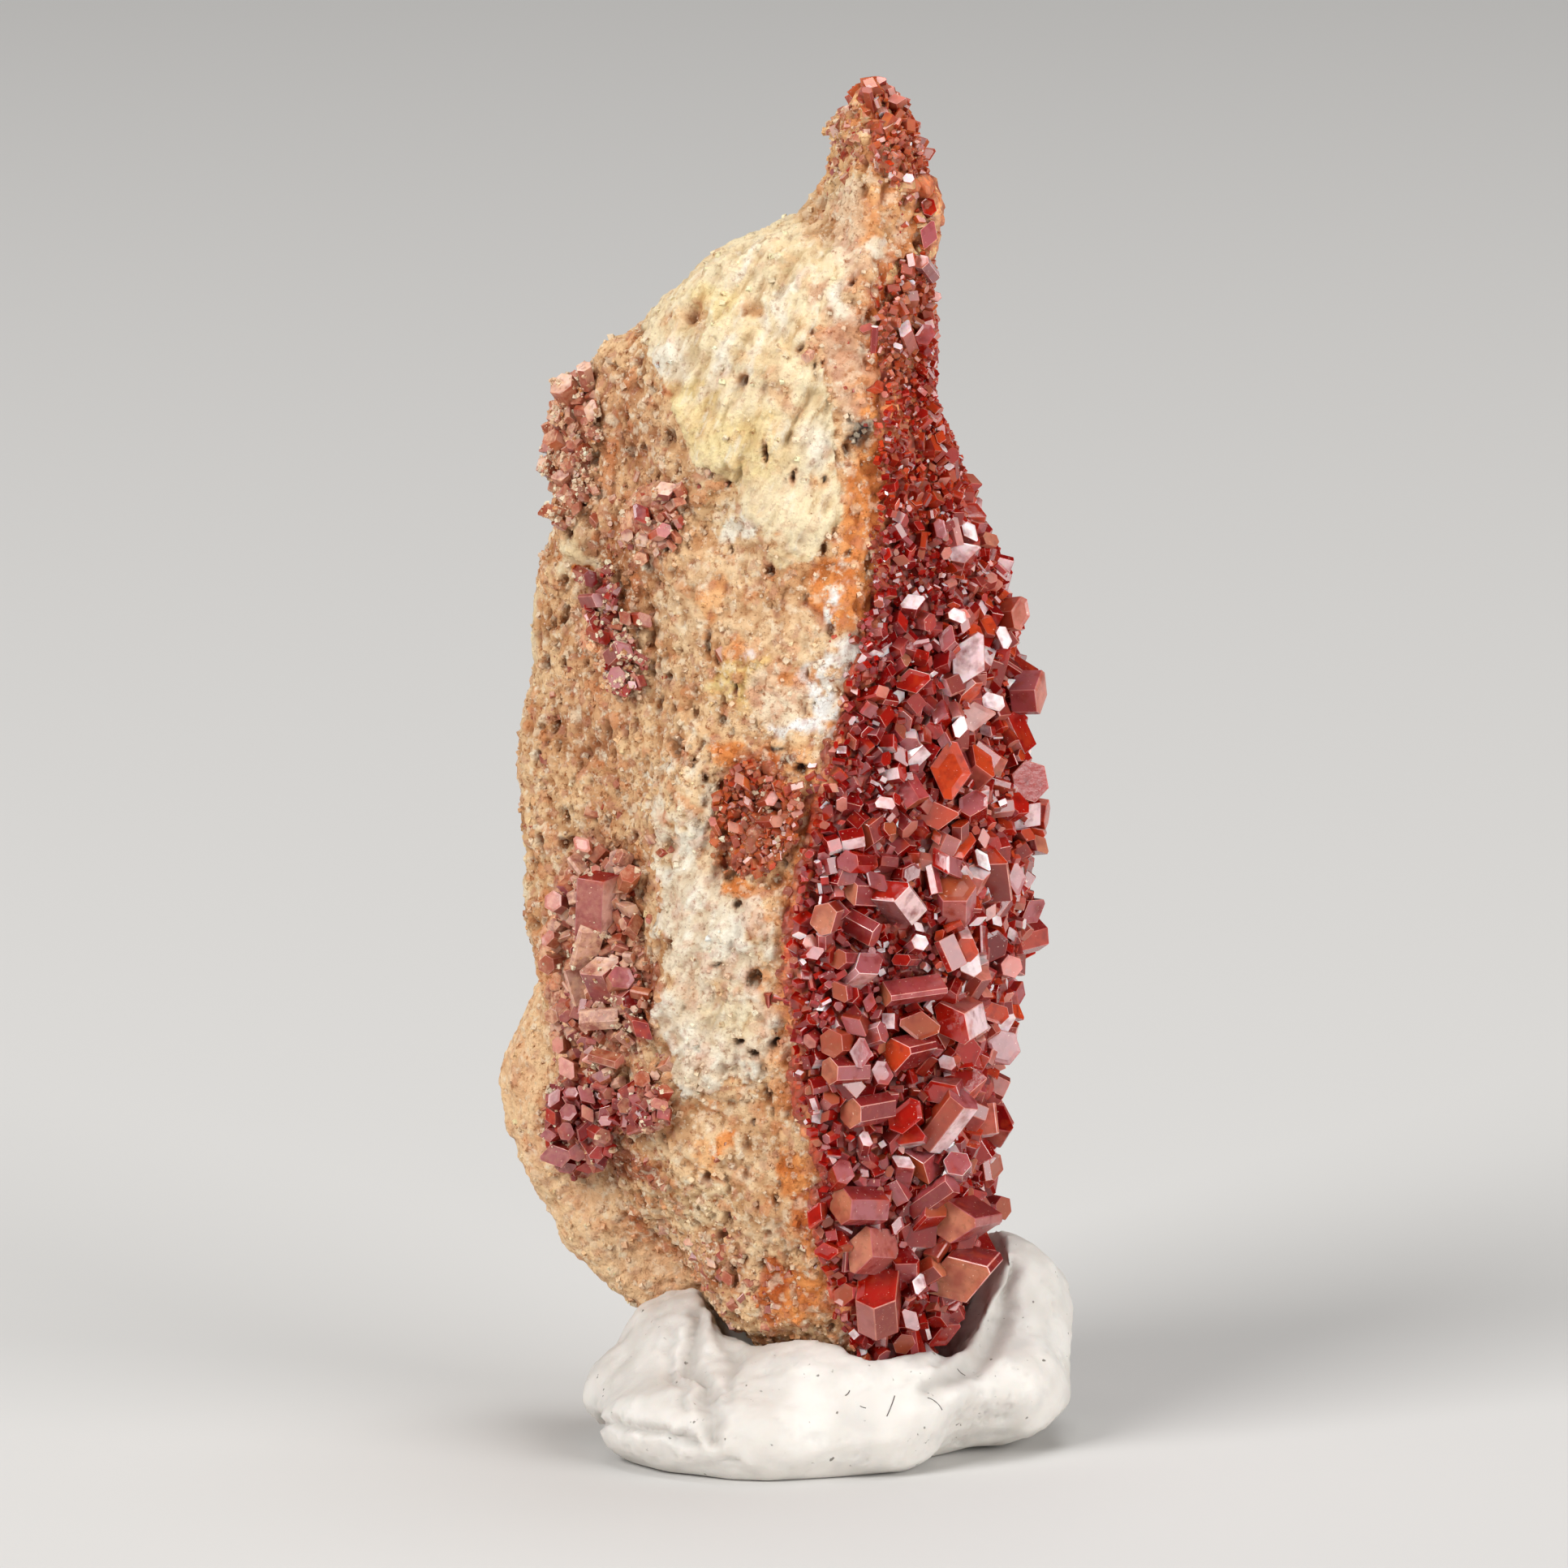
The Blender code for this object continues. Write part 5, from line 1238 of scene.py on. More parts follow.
def thinned(places, normals, radii, closeness, taken=None, taken_radii=None):
    """The places that have room when the largest come first, with their normals and radii."""
    order = np.argsort(-radii, kind="stable")
    places, normals, radii = picked(order, places, normals, radii)
    return picked(with_room(places, radii, closeness, taken, taken_radii), places, normals, radii)


def drawn_tints(count, pairs, rng):
    """Tints and dullnesses of ends and sides, drawn from pairs of letters."""
    drawn = rng.choice(pairs, count)
    (ends, dull_ends), (sides, dull_sides) = tints_of(drawn, 0), tints_of(drawn, 1)
    ends = np.clip(ends * rng.uniform(*TINT_SPREAD, (count, 1)), 0.0, 1.0)
    sides = np.clip(sides * rng.uniform(*TINT_SPREAD, (count, 1)), 0.0, 1.0)
    return ends, sides, dull_ends, dull_sides


def grow(pile, places, normals, radii, palette, rng):
    """Crystals half sunk at these places, with more work in the larger ones."""
    levels = (radii >= RIM_RADIUS).astype(int) + (radii >= BEVEL_RADIUS)
    for level in (PLAIN, RIMMED, BEVELLED):
        part = levels == level
        count = int(part.sum())
        if count == 0:
            continue
        axes = leaning(normals[part], CRYSTAL_LEAN, rng)
        lengths = radii[part] * rng.uniform(*LENGTHS, count)
        bases = places[part] - axes * (lengths * rng.uniform(*SUNK_SHARES, count))[:, None]
        tints = drawn_tints(count, palette.pairs, rng)
        crystals = Crystals(bases, axes, radii[part], lengths, rng.uniform(0.0, math.pi / 3, count), *tints)
        add_crystals(pile, crystals, palette.moods, int(rng.integers(1 << 30)), level)


# Crusts

def crust_shell(pile, rock, weight_of, colours_of, seed):
    """A granular skin over part of the rock that tapers off at its rim, sunk in so that no gap shows."""
    points, normals = points_and_normals(rock.data)
    weights = weight_of(points)
    faces = []
    for polygon in rock.data.polygons:
        corners = list(polygon.vertices)
        if min(weights[corner] for corner in corners) > 0.0:
            faces.append(corners)
    used = sorted({corner for face in faces for corner in face})
    places = {corner: index for index, corner in enumerate(used)}
    faces = [[places[corner] for corner in face] for face in faces]
    points, normals, weights = points[used], normals[used], weights[used]
    near, number = cells(points + 0.15 * rugged(points, 0.8, seed + 1, 2)[:, None], 0.50, seed)
    grain = SKIN_GRAIN * (LEVEL - near)
    rise = np.sqrt(weights) * (CRUST_TOP - 0.20 + grain) - SKIN_RIM
    outer = points + normals * rise[:, None]
    inner = points - normals * SKIN_BACK
    count = len(points)
    borders = set()
    for face in faces:
        borders.update(zip(face, face[1:] + face[:1]))
    rim = sorted((a, b) for a, b in borders if (b, a) not in borders)
    closed = faces + [[corner + count for corner in face[::-1]] for face in faces]
    closed += [[b, a, a + count, b + count] for a, b in rim]
    colours = np.clip(colours_of(points, seed + 2) * (0.65 + 0.75 * number)[:, None], 0.0, 1.0)
    outer_tints = [(*colours[face[0]], 0.9) for face in faces]
    pile.add(np.concatenate((outer, inner)), closed, outer_tints * 2 + [(*colours[a], 0.9) for a, b in rim])


def blotched(tones, points, seed):
    """Two tones in blotches."""
    return mixed(np.tile(tones[0], (len(points), 1)), tones[1], ramp(rugged(points, 0.9, seed, 3), -0.2, 0.7))


def druse_skin_colours(points, seed):
    """Deep red low down, rusty higher up and along the left border, sandy on the horn."""
    rusty = np.maximum(ramp(points[:, 2], 42.0, 50.0), 1.0 - ramp(druse_depth(points), 0.2, 1.2))
    colours = mixed(blotched(DEEP_CRUST, points, seed), blotched(RUSTY_CRUST, points, seed), rusty * 0.9)
    upwards = ramp(points[:, 2], HORN_FOOT - 2.0, HORN_FOOT + 2.0)
    return mixed(colours, blotched(HORN_CRUST, points, seed), upwards)


def druse_weight(points):
    """How much druse there is at each point, from 0 to 1."""
    sway = (0.35 + 0.5 * ramp(points[:, 1], 2.0, 5.0)) * rugged(points, *DRUSE_SWAY)
    return ramp(druse_depth(points) + sway, -0.5, 1.0) * (1.0 - bare_spots(points))


def patch_weight(patches):
    """A function that says how much of a small group there is at each point, from 0 to 1."""
    def weigh(points):
        x, z = on_front_plane(points)
        front = points[:, 1] < 3.5
        sway = 0.45 * rugged(points, *PATCH_SWAY)
        best = np.zeros(len(points))
        for patch in patches:
            best = np.maximum(best, 1.0 - ramp(oval_reach(x + sway, z + sway, patch), 0.5, 1.1))
        return best * front
    return weigh


def is_rear(places, normals):
    """Whether a place lies beyond the front ridge of the druse."""
    x, z = on_front_plane(places)
    return (x > edge_at(z, REAR_EDGE)) | (normals[:, 1] > 0.2)


def druse_radius(places, rear, rng):
    """The size of filling crystals: fine at the top, coarse low down and in the rear."""
    least, most, most_rear = (
        np.interp(places[:, 2], SIZE_HEIGHTS, radii) for radii in (LEAST_RADII, MOST_RADII, MOST_REAR_RADII)
    )
    most = np.where(rear, most_rear, most) * (0.42 + 0.58 * ramp(rugged(places, *DRUSE_SIZES), -0.4, 0.5))
    return least + np.maximum(most - least, 0.0) * rng.uniform(size=len(places)) ** 2.0


def palette_of(places, rear):
    """The number of the palette that each place takes."""
    height = places[:, 2] + 2.0 * rugged(places, *PALETTE_SWAY)
    lower = np.where(rear, 3, np.where(height > MIDDLE_FOOT, 1, 2))
    return np.where(height > HORN_FOOT, 4, np.where(height > FINE_TOP_FOOT, 0, lower))


def fill_druse(front_pile, rear_pile, skin, heads, sizes, rng):
    """Filling crystals between the ones seen one by one. Returns where all of them are, and their radii."""
    places, normals = random_places(skin.data, DRUSE_TRIES, rng)[:2]
    least = np.where(places[:, 2] > HORN_FOOT, 0.1, 0.4)
    inside = (druse_depth(places) > 0.2) & (druse_weight(places) > least)
    places, normals = picked(inside, places, normals)
    radii = druse_radius(places, is_rear(places, normals), rng)
    radii = np.minimum(radii, 0.16 + 0.28 * np.clip(druse_depth(places), 0.0, 5.0))
    places, normals, radii = thinned(places, normals, radii, DRUSE_ROOM, heads, sizes)
    rear = is_rear(places, normals)
    numbers = palette_of(places, rear)
    sunk = places - normals * (0.60 * rng.uniform(size=len(places)) ** 2)[:, None]
    for number, palette in enumerate(DRUSE_PALETTES):
        for pile, there in ((front_pile, ~rear), (rear_pile, rear)):
            part = there & (numbers == number)
            grow(pile, *picked(part, sunk, normals, radii), palette, rng)
    return np.concatenate((heads, places)), np.concatenate((sizes, radii))


def fill_gaps(base, skin, heads, sizes, rng):
    """Tiny crystals on the skin of the druse, where there is room between the others."""
    places, normals = random_places(skin.data, SPECK_TRIES, rng)[:2]
    inside = (druse_depth(places) > -0.5) & (druse_weight(places) > 0.15)
    inside &= rng.uniform(size=len(places)) < 0.4 + 0.6 * ramp(places[:, 2], 38.0, 46.0)
    places, normals = picked(inside, places, normals)
    radii = rng.uniform(0.07, 0.20, len(places))
    kept = with_room(places, radii, SPECK_ROOM, heads, sizes * 0.7)[:SPECK_COUNT]
    places, normals, radii = picked(kept, places, normals, radii)
    places = places - normals * (0.30 * rng.uniform(size=len(places)))[:, None]
    numbers = palette_of(places, is_rear(places, normals))
    for number, palette in enumerate(DRUSE_PALETTES):
        grow(base, *picked(numbers == number, places, normals, radii), palette, rng)


def build_main_druse(rock, skin, tree):
    """The druse's granular base with its tiny crystals, and the crystals that stand on its front and rear."""
    rng = np.random.default_rng(DRUSE_SEED)
    base, front_pile, rear_pile = Pile(), Pile(), Pile()
    crust_shell(base, rock, druse_weight, druse_skin_colours, CRUST_SEED)
    heroes = seen_crystals(DRUSE_CRYSTALS, tree)
    add_crystals(front_pile, heroes, CALM, HERO_SEED, BEVELLED)
    heads, sizes = fill_druse(front_pile, rear_pile, skin, heads_of(heroes), heroes.radii, rng)
    fill_gaps(base, skin, heads, sizes, rng)
    piles = (base, "druse_base"), (front_pile, "druse_crystals"), (rear_pile, "druse_rear_crystals")
    return [pile.make(name) for pile, name in piles]


def build_groups(name, groups, rock, skin, tree, seed):
    """Small groups of crystals in one piece."""
    pile = Pile()
    rng = np.random.default_rng(seed)
    for number, group in enumerate(groups):
        weigh = patch_weight(group.patches)
        crust_shell(pile, rock, weigh, partial(blotched, group.tones), seed + 10 * number)
        heroes = seen_crystals(group.crystals, tree, group.sunk)
        add_crystals(pile, heroes, group.palette.moods, seed + number, BEVELLED)
        taken = heads_of(heroes)
        places, normals = random_places(skin.data, group.tries, rng)[:2]
        weights = weigh(places)
        clumps = np.maximum(ramp(rugged(places, 1.4, seed + 5, 3), -0.5, 0.2), group.cover)
        inside = weights * clumps > 0.2 * rng.uniform(0.6, 1.6, len(places))
        places, normals = picked(inside, places, normals)
        radii = group.least + (group.most - group.least) * rng.uniform(size=len(places)) ** 2.0
        places, normals, radii = thinned(places, normals, radii, GROUP_ROOM, taken, heroes.radii * 0.8)
        grow(pile, places - normals * (0.2 + 0.6 * group.sunk), normals, radii, group.palette, rng)
    return pile.make(name)


def add_horn_crystals(pile, rock, state):
    """Small sandy crystals on the left of the horn, and on the far side of the bare right edge."""
    rng = np.random.default_rng(HORN_SEED)
    places, normals, corner = random_places(rock.data, HORN_TRIES, rng)
    x, z = on_front_plane(places)
    bare = state["bare"][corner]
    tip = 0.5 * ramp(z, 60.5, 64.5) * (1.0 - ramp(x, 2.8, 3.6)) * ((bare > 0.5) | (druse_depth(places) < 0.3))
    far = ramp(places[:, 1], -0.5, 2.0) * bare
    clusters = ramp(rugged(places, *HORN_CLUSTERS), -0.5, 0.5)
    kept = rng.uniform(size=len(places)) < np.maximum(tip, far) * clusters
    places, normals = picked(kept, places, normals)
    radii = 0.08 + 0.16 * rng.uniform(size=len(places)) ** 2
    places, normals, radii = thinned(places, normals, radii, HORN_ROOM)
    grow(pile, places - normals * (radii * 0.4)[:, None], normals, radii, SANDED, rng)


def build_sprinkle(rock, state):
    """Tiny crystals strewn in clusters over the matrix: orange beside the druse, and dusty elsewhere."""
    pile = Pile()
    rng = np.random.default_rng(STREWN_SEED)
    places, normals, corner = random_places(rock.data, STREWN_TRIES, rng)
    clusters = ramp(rugged(places, *STREWN_CLUSTERS), -0.1, 0.5)
    bare = (druse_depth(places) < 0.3) | (state["bare"][corner] > 0.5)
    bare &= (state["upper"] + state["lower"])[corner] < 0.4
    chance = (state["sprinkle"][corner] ** 1.3 + 0.5 * ramp(druse_depth(places), -1.4, -0.2)) * clusters
    kept = (rng.uniform(size=len(places)) < chance) & bare & (places[:, 2] > TACK_LINE)
    places, normals = picked(kept, places, normals)
    radii = 0.06 + 0.30 * rng.uniform(size=len(places)) ** 3.5
    places, normals, radii = thinned(places, normals, radii, STREWN_ROOM)
    places = places - normals * (radii * 0.4)[:, None]
    near_druse = (druse_depth(places) > -2.2) & (places[:, 2] < 60.5)
    for part, palette in ((near_druse, FINE_TOP), (~near_druse, SANDED)):
        grow(pile, *picked(part, places, normals, radii), palette, rng)
    add_horn_crystals(pile, rock, state)
    return pile.make("strewn_crystals")


# The tack

TACK_PALE = shade(226, 221, 214)
TACK_GREY = shade(211, 205, 197)
# Painted shade in the tack's creases and wrinkles.
CREASE_SHADE = shade(168, 160, 152)
LINT_TONE = shade(84, 78, 74)
# Creases on the front plane: points along each, then its half width and depth.
CREASES = [
    ([(-5.2, 7.6), (-5.6, 5.6), (-5.0, 3.6), (-4.6, 1.4)], 0.45, 0.55),
    ([(-4.2, 7.2), (-3.6, 5.4), (-4.0, 3.4)], 0.30, 0.25),
    ([(-6.8, 6.6), (-6.6, 4.8), (-6.0, 3.0)], 0.35, 0.25),
    ([(-12.6, 2.6), (-10.2, 2.0), (-7.6, 1.6), (-5.6, 0.9)], 0.22, 0.45),
    ([(9.4, 9.6), (9.2, 7.4), (7.8, 5.0), (5.6, 3.6)], 0.55, 0.50),
    ([(8.0, 8.0), (7.4, 6.4), (5.8, 4.8)], 0.25, 0.18),
]
# Lint on the front: where each hair starts, its heading in degrees, its length and how far it bends.
LINT = [
    (3.57, 2.4, 66, 1.25, 10), (6.9, 4.7, -55, 0.6, 40), (5.5, 3.3, -20, 1.1, -60), (1.6, 3.4, 30, 0.4, 60),
    (2.3, 2.9, -30, 0.35, 30),
]
# How far the tack's swellings and dents go, and how deep its wrinkles are.
TACK_SWELL_RISE = 0.20
TACK_DENT_RISE = 0.07
WRINKLE_DEPTH = 0.12
FINE_WRINKLE_DEPTH = 0.05
# The steps along a hair, and its radius.
LINT_STEPS = 7
LINT_RADIUS = 0.024


def crease_depth(x, z):
    """How deep the creases are at each place on the front plane."""
    depth = np.zeros(len(x))
    for line, width, deep in CREASES:
        nearest = np.full(len(x), np.inf)
        for (x0, z0), (x1, z1) in zip(line, line[1:]):
            run = np.array((x1 - x0, z1 - z0))
            share = np.clip(((x - x0) * run[0] + (z - z0) * run[1]) / run.dot(run), 0.0, 1.0)
            nearest = np.minimum(nearest, np.hypot(x - x0 - share * run[0], z - z0 - share * run[1]))
        depth = np.maximum(depth, deep * (1.0 - ramp(nearest / width, 0.0, 1.6)))
    return depth


def build_tack():
    """The wad of tack with its swellings, wrinkles and creases, with painted shade along the creases and
    wrinkles.
    """
    tack = remeshed_node("mineral_tack", "tack", TACK_PITCH, smoothing=10)
    points, normals = points_and_normals(tack.data)
    x, z = on_front_plane(points)
    sway = 0.30 * rugged(points, *CREASE_SWAY)
    front = 1.0 - ramp(points[:, 1], 0.0, 3.0)
    swell = TACK_SWELL_RISE * rugged(points, *TACK_SWELL) + TACK_DENT_RISE * rugged(points, *TACK_DENTS)
    wrinkles = np.abs(rugged(points * (0.6, 1.0, 1.0), *WRINKLES))
    fine_wrinkles = np.abs(rugged(points * (1.0, 1.0, 0.5), *FINE_WRINKLES))
    creases = crease_depth(x + sway, z + sway) * front
    creases += WRINKLE_DEPTH * (1.0 - ramp(wrinkles, 0.0, 0.06))
    creases += FINE_WRINKLE_DEPTH * (1.0 - ramp(fine_wrinkles, 0.0, 0.07))
    relief = (swell - creases) * ramp(points[:, 2], 0.05, 0.9)
    move_points(tack.data, points + normals * relief[:, None])
    tone = ramp(rugged(points, *TACK_TONE), -0.6, 0.8)
    colours = mixed(np.tile(TACK_PALE, (len(points), 1)), TACK_GREY, tone)
    # Painted shade: darker the deeper the crease or wrinkle.
    colours = mixed(colours, CREASE_SHADE, np.clip(creases * 1.2, 0.0, 0.6))
    paint_points(tack.data, colours, np.full(len(points), 0.8))
    make_smooth(tack.data)
    return tack


def build_lint(tack):
    """Thin dark hairs that lie on the tack."""
    pile = Pile()
    tree = BVHTree.FromObject(tack, bpy.context.evaluated_depsgraph_get())
    across, over = Vector((1.0, 0.0, 0.0)), Vector((0.0, 0.0, 1.0))
    for x, z, heading, length, bend in LINT:
        rings = []
        for step in range(LINT_STEPS):
            turn = math.radians(heading + bend * step / LINT_STEPS)
            sight = sight_to(x, z)
            hit = tree.ray_cast(VIEWPOINT * MM, sight)[0] / MM
            middle = hit - sight * LINT_RADIUS * 0.5
            side = across * math.sin(turn) - over * math.cos(turn)
            rings.append([middle + side * LINT_RADIUS, middle - sight * LINT_RADIUS,
                          middle - side * LINT_RADIUS, middle + sight * LINT_RADIUS])
            x += math.cos(turn) * length / LINT_STEPS
            z += math.sin(turn) * length / LINT_STEPS
        faces = ring_faces(LINT_STEPS, 4)
        points = np.array([corner for ring in rings for corner in ring])
        pile.add(points, faces, [(*LINT_TONE, 0.8)] * len(faces))
    return pile.make("tack_lint")


# Materials

# Noises that colour a material: how many lumps a metre, detail, crispness, lean to the right, and how long
# the lumps are drawn out along that lean.
Noise = namedtuple("Noise", "scale detail crispness tilt stretch", defaults=(0.5, 0.0, 1.0))
STONE_GRIT = Noise(3400.0, 8.0, 0.65)
STONE_SPECKS = Noise(9000.0, 4.0, 0.6)
STONE_STAIN = Noise(2300.0, 6.0, 0.6)
STONE_CRUMBS = Noise(4200.0, 8.0, 0.65)
GOUGES = Noise(2000.0, 7.0, 0.6, STREAK_TILT, 5.0)
CLOUDS = Noise(1600.0, 3.0)
WARMTH = Noise(1100.0, 2.0)
DUST = Noise(7000.0, 2.0)
CRYSTAL_GRIT = Noise(4200.0, 5.0)
SAND_FILM = Noise(2900.0, 6.0, 0.65)
FACE_RIPPLES = Noise(2600.0, 4.0)
TACK_SPECKS = Noise(2300.0, 2.0)
TACK_SMEARS = Noise(700.0, 6.0)
TACK_RIPPLES = Noise(1400.0, 7.0)
# Layers of colour over the tint of a mesh: the noise, the colour, the noise's values where the layer starts
# and where it is full, and whether it lies on dull faces, on clean ones or on all.
STONE_LAYERS = [
    (STONE_GRIT, shade(160, 88, 40), 0.53, 0.68, "dull"),
    (STONE_SPECKS, shade(110, 52, 20), 0.62, 0.74, "dull"),
    (STONE_STAIN, shade(255, 240, 212), 0.56, 0.72, "dull"),
    (GOUGES, shade(196, 146, 90), 0.56, 0.80, "clean"),
    (GOUGES, shade(255, 246, 226), 0.44, 0.22, "clean"),
]
CRYSTAL_LAYERS = [
    (CLOUDS, shade(118, 4, 2), 0.50, 0.82, "clean"),
    (WARMTH, shade(204, 70, 28), 0.58, 0.95, "clean"),
    (DUST, shade(240, 206, 186), 0.68, 0.80, "all"),
    (CRYSTAL_GRIT, shade(150, 84, 44), 0.52, 0.72, "dull"),
    (WARMTH, shade(146, 58, 34), 0.42, 0.68, "dull"),
]
FILM_TONE = shade(226, 178, 142)
TACK_LAYERS = [
    (TACK_SPECKS, shade(120, 112, 104), 0.71, 0.76, "all"),
    (TACK_SMEARS, shade(206, 202, 196), 0.50, 0.80, "all"),
]


class Paint:
    """A material in the making."""

    def __init__(self, name):
        self.material = bpy.data.materials.new(name)
        self.material.use_nodes = True
        self.nodes = self.material.node_tree.nodes
        self.join = self.material.node_tree.links.new
        self.sockets = self.nodes["Principled BSDF"].inputs

    def set(self, **values):
        """Constants of the main shader, with its names in lower case and joined by underlines."""
        names = {socket.name.lower().replace(" ", "_"): socket for socket in self.sockets}
        for name, value in values.items():
            names[name].default_value = value

    def value_range(self, source, low, high, to_low, to_high):
        """Map a value from one range to another."""
        node = self.nodes.new("ShaderNodeMapRange")
        node.inputs["From Min"].default_value = low
        node.inputs["From Max"].default_value = high
        node.inputs["To Min"].default_value = to_low
        node.inputs["To Max"].default_value = to_high
        self.join(source, node.inputs["Value"])
        return node.outputs["Result"]

    def noise(self, kind):
        """Noise in the object's own space."""
        place = self.nodes.new("ShaderNodeTexCoord")
        turned = self.nodes.new("ShaderNodeMapping")
        turned.vector_type = "TEXTURE"
        turned.inputs["Rotation"].default_value = (0.0, math.radians(kind.tilt), 0.0)
        turned.inputs["Scale"].default_value = (1.0, 1.0, kind.stretch)
        noise = self.nodes.new("ShaderNodeTexNoise")
        noise.inputs["Scale"].default_value = kind.scale
        noise.inputs["Detail"].default_value = kind.detail
        noise.inputs["Roughness"].default_value = kind.crispness
        self.join(place.outputs["Object"], turned.inputs["Vector"])
        self.join(turned.outputs["Vector"], noise.inputs["Vector"])
        return noise.outputs["Fac"]

    def tinted(self, base, source, colour, low, high, strength):
        """Mix a colour over the base where the source rises from low to high, times any strength."""
        share = self.value_range(source, low, high, 0.0, 1.0)
        if strength is not None:
            product = self.nodes.new("ShaderNodeMath")
            product.operation = "MULTIPLY"
            self.join(share, product.inputs[0])
            self.join(strength, product.inputs[1])
            share = product.outputs["Value"]
        mix = self.nodes.new("ShaderNodeMix")
        mix.data_type = "RGBA"
        self.join(share, mix.inputs["Factor"])
        self.join(base, mix.inputs["A"])
        mix.inputs["B"].default_value = (*colour, 1.0)
        return mix.outputs["Result"]

    def lay(self, layers, clean, dull):
        """Colour by the mesh's tint and these layers. Clean and dull are values of a face's dullness."""
        attribute = self.nodes.new("ShaderNodeAttribute")
        attribute.attribute_name = "tint"
        colour, dullness = attribute.outputs["Color"], attribute.outputs["Alpha"]
        cleanness = self.value_range(dullness, clean, dull, 1.0, 0.0)
        strengths = {"all": None, "dull": dullness, "clean": cleanness}
        for kind, tone, low, high, where in layers:
            colour = self.tinted(colour, self.noise(kind), tone, low, high, strengths[where])
        self.join(colour, self.sockets["Base Color"])
        return dullness

    def bump(self, kind, strength, distance):
        """Add fine relief, on top of what was added before."""
        bump = self.nodes.new("ShaderNodeBump")
        bump.inputs["Strength"].default_value = strength
        bump.inputs["Distance"].default_value = distance * MM
        self.join(self.noise(kind), bump.inputs["Height"])
        for earlier in self.sockets["Normal"].links:
            self.join(earlier.from_socket, bump.inputs["Normal"])
        self.join(bump.outputs["Normal"], self.sockets["Normal"])


def stone_material():
    """Crumbly stone: grainier, with more specks, where the tint's fourth value is high."""
    paint = Paint("matrix_stone")
    paint.lay(STONE_LAYERS, clean=0.50, dull=0.80)
    roughness = paint.value_range(paint.noise(STONE_GRIT), 0.3, 0.7, 0.75, 0.98)
    paint.join(roughness, paint.sockets["Roughness"])
    paint.set(specular_ior_level=0.15)
    paint.bump(GOUGES, strength=0.5, distance=0.12)
    paint.bump(STONE_CRUMBS, strength=1.0, distance=0.22)
    return paint.material


def crystal_material(name, glow, smoothest, film):
    """Vanadinite: how much light glows through it, how rough clean faces are, and where its sand starts."""
    paint = Paint(name)
    film_layer = (SAND_FILM, FILM_TONE, film, film + 0.22, "dull")
    dullness = paint.lay(CRYSTAL_LAYERS + [film_layer], clean=0.2, dull=0.9)
    roughness = paint.value_range(dullness, 0.0, 1.0, smoothest, 0.62)
    paint.join(roughness, paint.sockets["Roughness"])
    paint.set(ior=1.70, subsurface_weight=glow, subsurface_radius=(1.0, 0.10, 0.04),
              subsurface_scale=0.8 * MM)
    paint.bump(FACE_RIPPLES, strength=0.15, distance=0.06)
    return paint.material


def tack_material():
    """Kneaded putty with small specks and smears."""
    paint = Paint("tack_putty")
    paint.lay(TACK_LAYERS, clean=0.0, dull=1.0)
    paint.set(roughness=0.62, subsurface_weight=0.10, subsurface_scale=0.6 * MM)
    paint.bump(TACK_RIPPLES, strength=0.35, distance=0.12)
    return paint.material


def floor_material():
    """Plain pale paper."""
    paint = Paint("floor_paper")
    paint.set(base_color=(*FLOOR_TONE, 1.0), roughness=0.8)
    return paint.material


# Stage

FLOOR_TONE = shade(206, 204, 201)
BACKDROP_TONE = shade(226, 226, 228)
# Square softboxes aimed at the specimen: name, place and side in millimetres, power in watts.
LIGHTS = [
    ("key", (-850.0, -800.0, 850.0), 700.0, 19.0),
    ("fill", (1000.0, -750.0, 450.0), 900.0, 14.5),
    ("top", (100.0, 200.0, 1300.0), 800.0, 9.0),
]


def build_stage():
    """A plain round floor under the specimen, 6 metres wide."""
    bpy.ops.mesh.primitive_circle_add(vertices=96, radius=3.0, fill_type="NGON")
    floor = bpy.context.object
    floor.name = "floor"
    floor.data.materials.append(floor_material())


def aimed(name, data, place):
    """A lamp or camera at this place that looks at the specimen."""
    obj = new_object(name, data)
    obj.location = place * MM
    obj.rotation_euler = (TARGET - place).to_track_quat("-Z", "Y").to_euler()
    return obj


def add_light(name, place, size, power):
    """One softbox."""
    light = bpy.data.lights.new(name, "AREA")
    light.shape = "SQUARE"
    light.size = size * MM
    light.energy = power
    aimed(name, light, Vector(place))


def light_stage():
    """A dim grey world and three softboxes."""
    world = bpy.data.worlds.new("studio")
    bpy.context.scene.world = world
    world.use_nodes = True
    backdrop = world.node_tree.nodes["Background"]
    backdrop.inputs["Color"].default_value = (*BACKDROP_TONE, 1.0)
    backdrop.inputs["Strength"].default_value = 0.05
    for light in LIGHTS:
        add_light(*light)
    bpy.context.scene.view_settings.view_transform = "Standard"


def add_camera():
    """The camera that the picture is taken with."""
    camera = bpy.data.cameras.new("camera")
    camera.sensor_width = SENSOR_WIDTH
    camera.lens = SENSOR_WIDTH * (TARGET - VIEWPOINT).length / PICTURE_WIDTH
    bpy.context.scene.camera = aimed("camera", camera, VIEWPOINT)


# Putting it together

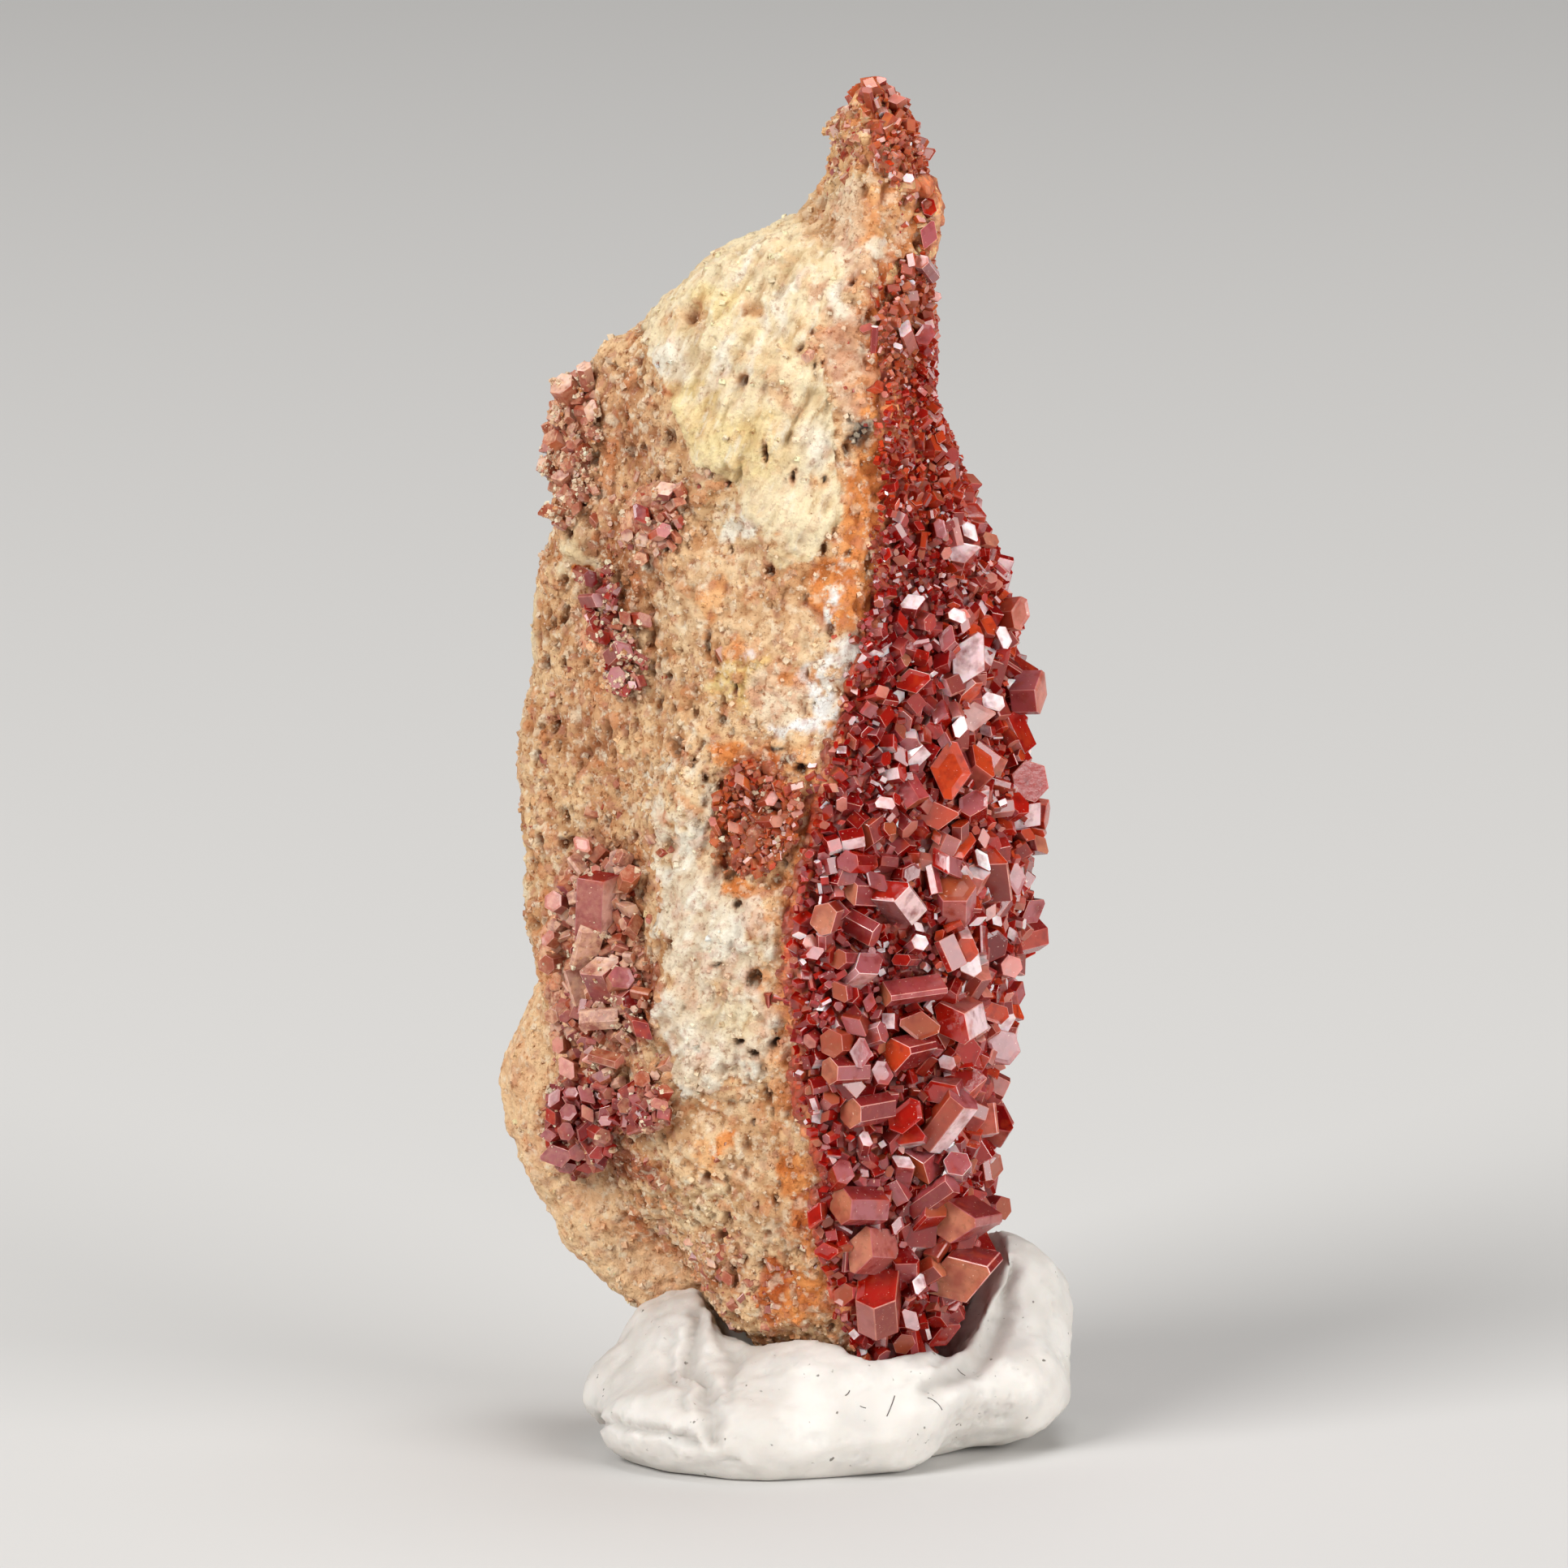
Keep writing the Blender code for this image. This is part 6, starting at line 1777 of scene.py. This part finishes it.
def grown_rock():
    """The plain CAD rock with its skin stood off to the crust's top: crystals are placed on it."""
    bm = bmesh.new()
    bm.from_mesh(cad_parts["matrix_rock"].data)
    bmesh.ops.remove_doubles(bm, verts=bm.verts, dist=WELD * MM)
    bm.normal_update()
    shifts = [(vert, vert.normal * min(vert.calc_shell_factor(), MOST_SHELL)) for vert in bm.verts]
    for vert, shift in shifts:
        vert.co += shift * CRUST_TOP * MM
    bmesh.ops.scale(bm, verts=bm.verts, vec=Vector((1.0, 1.0, 1.0)) / MM)
    tree = BVHTree.FromBMesh(bm)
    bmesh.ops.scale(bm, verts=bm.verts, vec=Vector((1.0, 1.0, 1.0)) * MM)
    mesh = bpy.data.meshes.new("skin")
    bm.to_mesh(mesh)
    bm.free()
    return new_object("skin", mesh), tree


def finish_piece(piece, material, nodes):
    """Dress a piece in its material, hang it on the root body, and hide the CAD nodes that it stands in for.
    """
    piece.data.materials.clear()
    piece.data.materials.append(material)
    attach(piece, "root")
    for node in nodes:
        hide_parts(node)


def build_materials():
    """The stone, the clear, the dusted and the amber crystal, and the putty."""
    return (
        stone_material(),
        crystal_material("vanadinite_crystal", glow=0.45, smoothest=0.08, film=0.66),
        crystal_material("dusted_vanadinite", glow=0.15, smoothest=0.25, film=0.44),
        crystal_material("amber_vanadinite", glow=0.30, smoothest=0.12, film=0.56),
        tack_material(),
    )


def main():
    """Build the stage, then each piece, and put away the helpers."""
    add_camera()
    light_stage()
    build_stage()
    stone, crystal, dusted, amber, putty = build_materials()
    skin, tree = grown_rock()
    rock, state = build_rock()
    base, front, rear = build_main_druse(rock, skin, tree)
    for piece in (base, front, rear):
        finish_piece(piece, crystal, ["vanadinite_main_druse"])
    left = build_groups("left_crystals", LEFT_GROUPS, rock, skin, tree, LEFT_SEED)
    finish_piece(left, dusted, ["vanadinite_left_group"])
    upper = build_groups("upper_left_crystals", UPPER_LEFT_GROUPS, rock, skin, tree, UPPER_LEFT_SEED)
    nodes = ["vanadinite_shoulder_group", "vanadinite_recess_group", "vanadinite_upper_group"]
    finish_piece(upper, dusted, nodes)
    pocket = build_groups("pocket_crystals", POCKET_GROUPS, rock, skin, tree, POCKET_SEED)
    finish_piece(pocket, amber, ["vanadinite_pocket_druse"])
    finish_piece(build_sprinkle(rock, state), dusted, [])
    finish_piece(build_grains(rock, state, [left, upper, pocket]), stone, [])
    finish_piece(half_of(rock, "matrix", 1.0), stone, ["matrix_rock"])
    finish_piece(half_of(rock, "matrix_back", -1.0), stone, ["matrix_rock"])
    tack = build_tack()
    finish_piece(tack, putty, ["mineral_tack"])
    finish_piece(build_lint(tack), putty, [])
    for helper in (skin, rock):
        bpy.data.objects.remove(helper, do_unlink=True)


main()
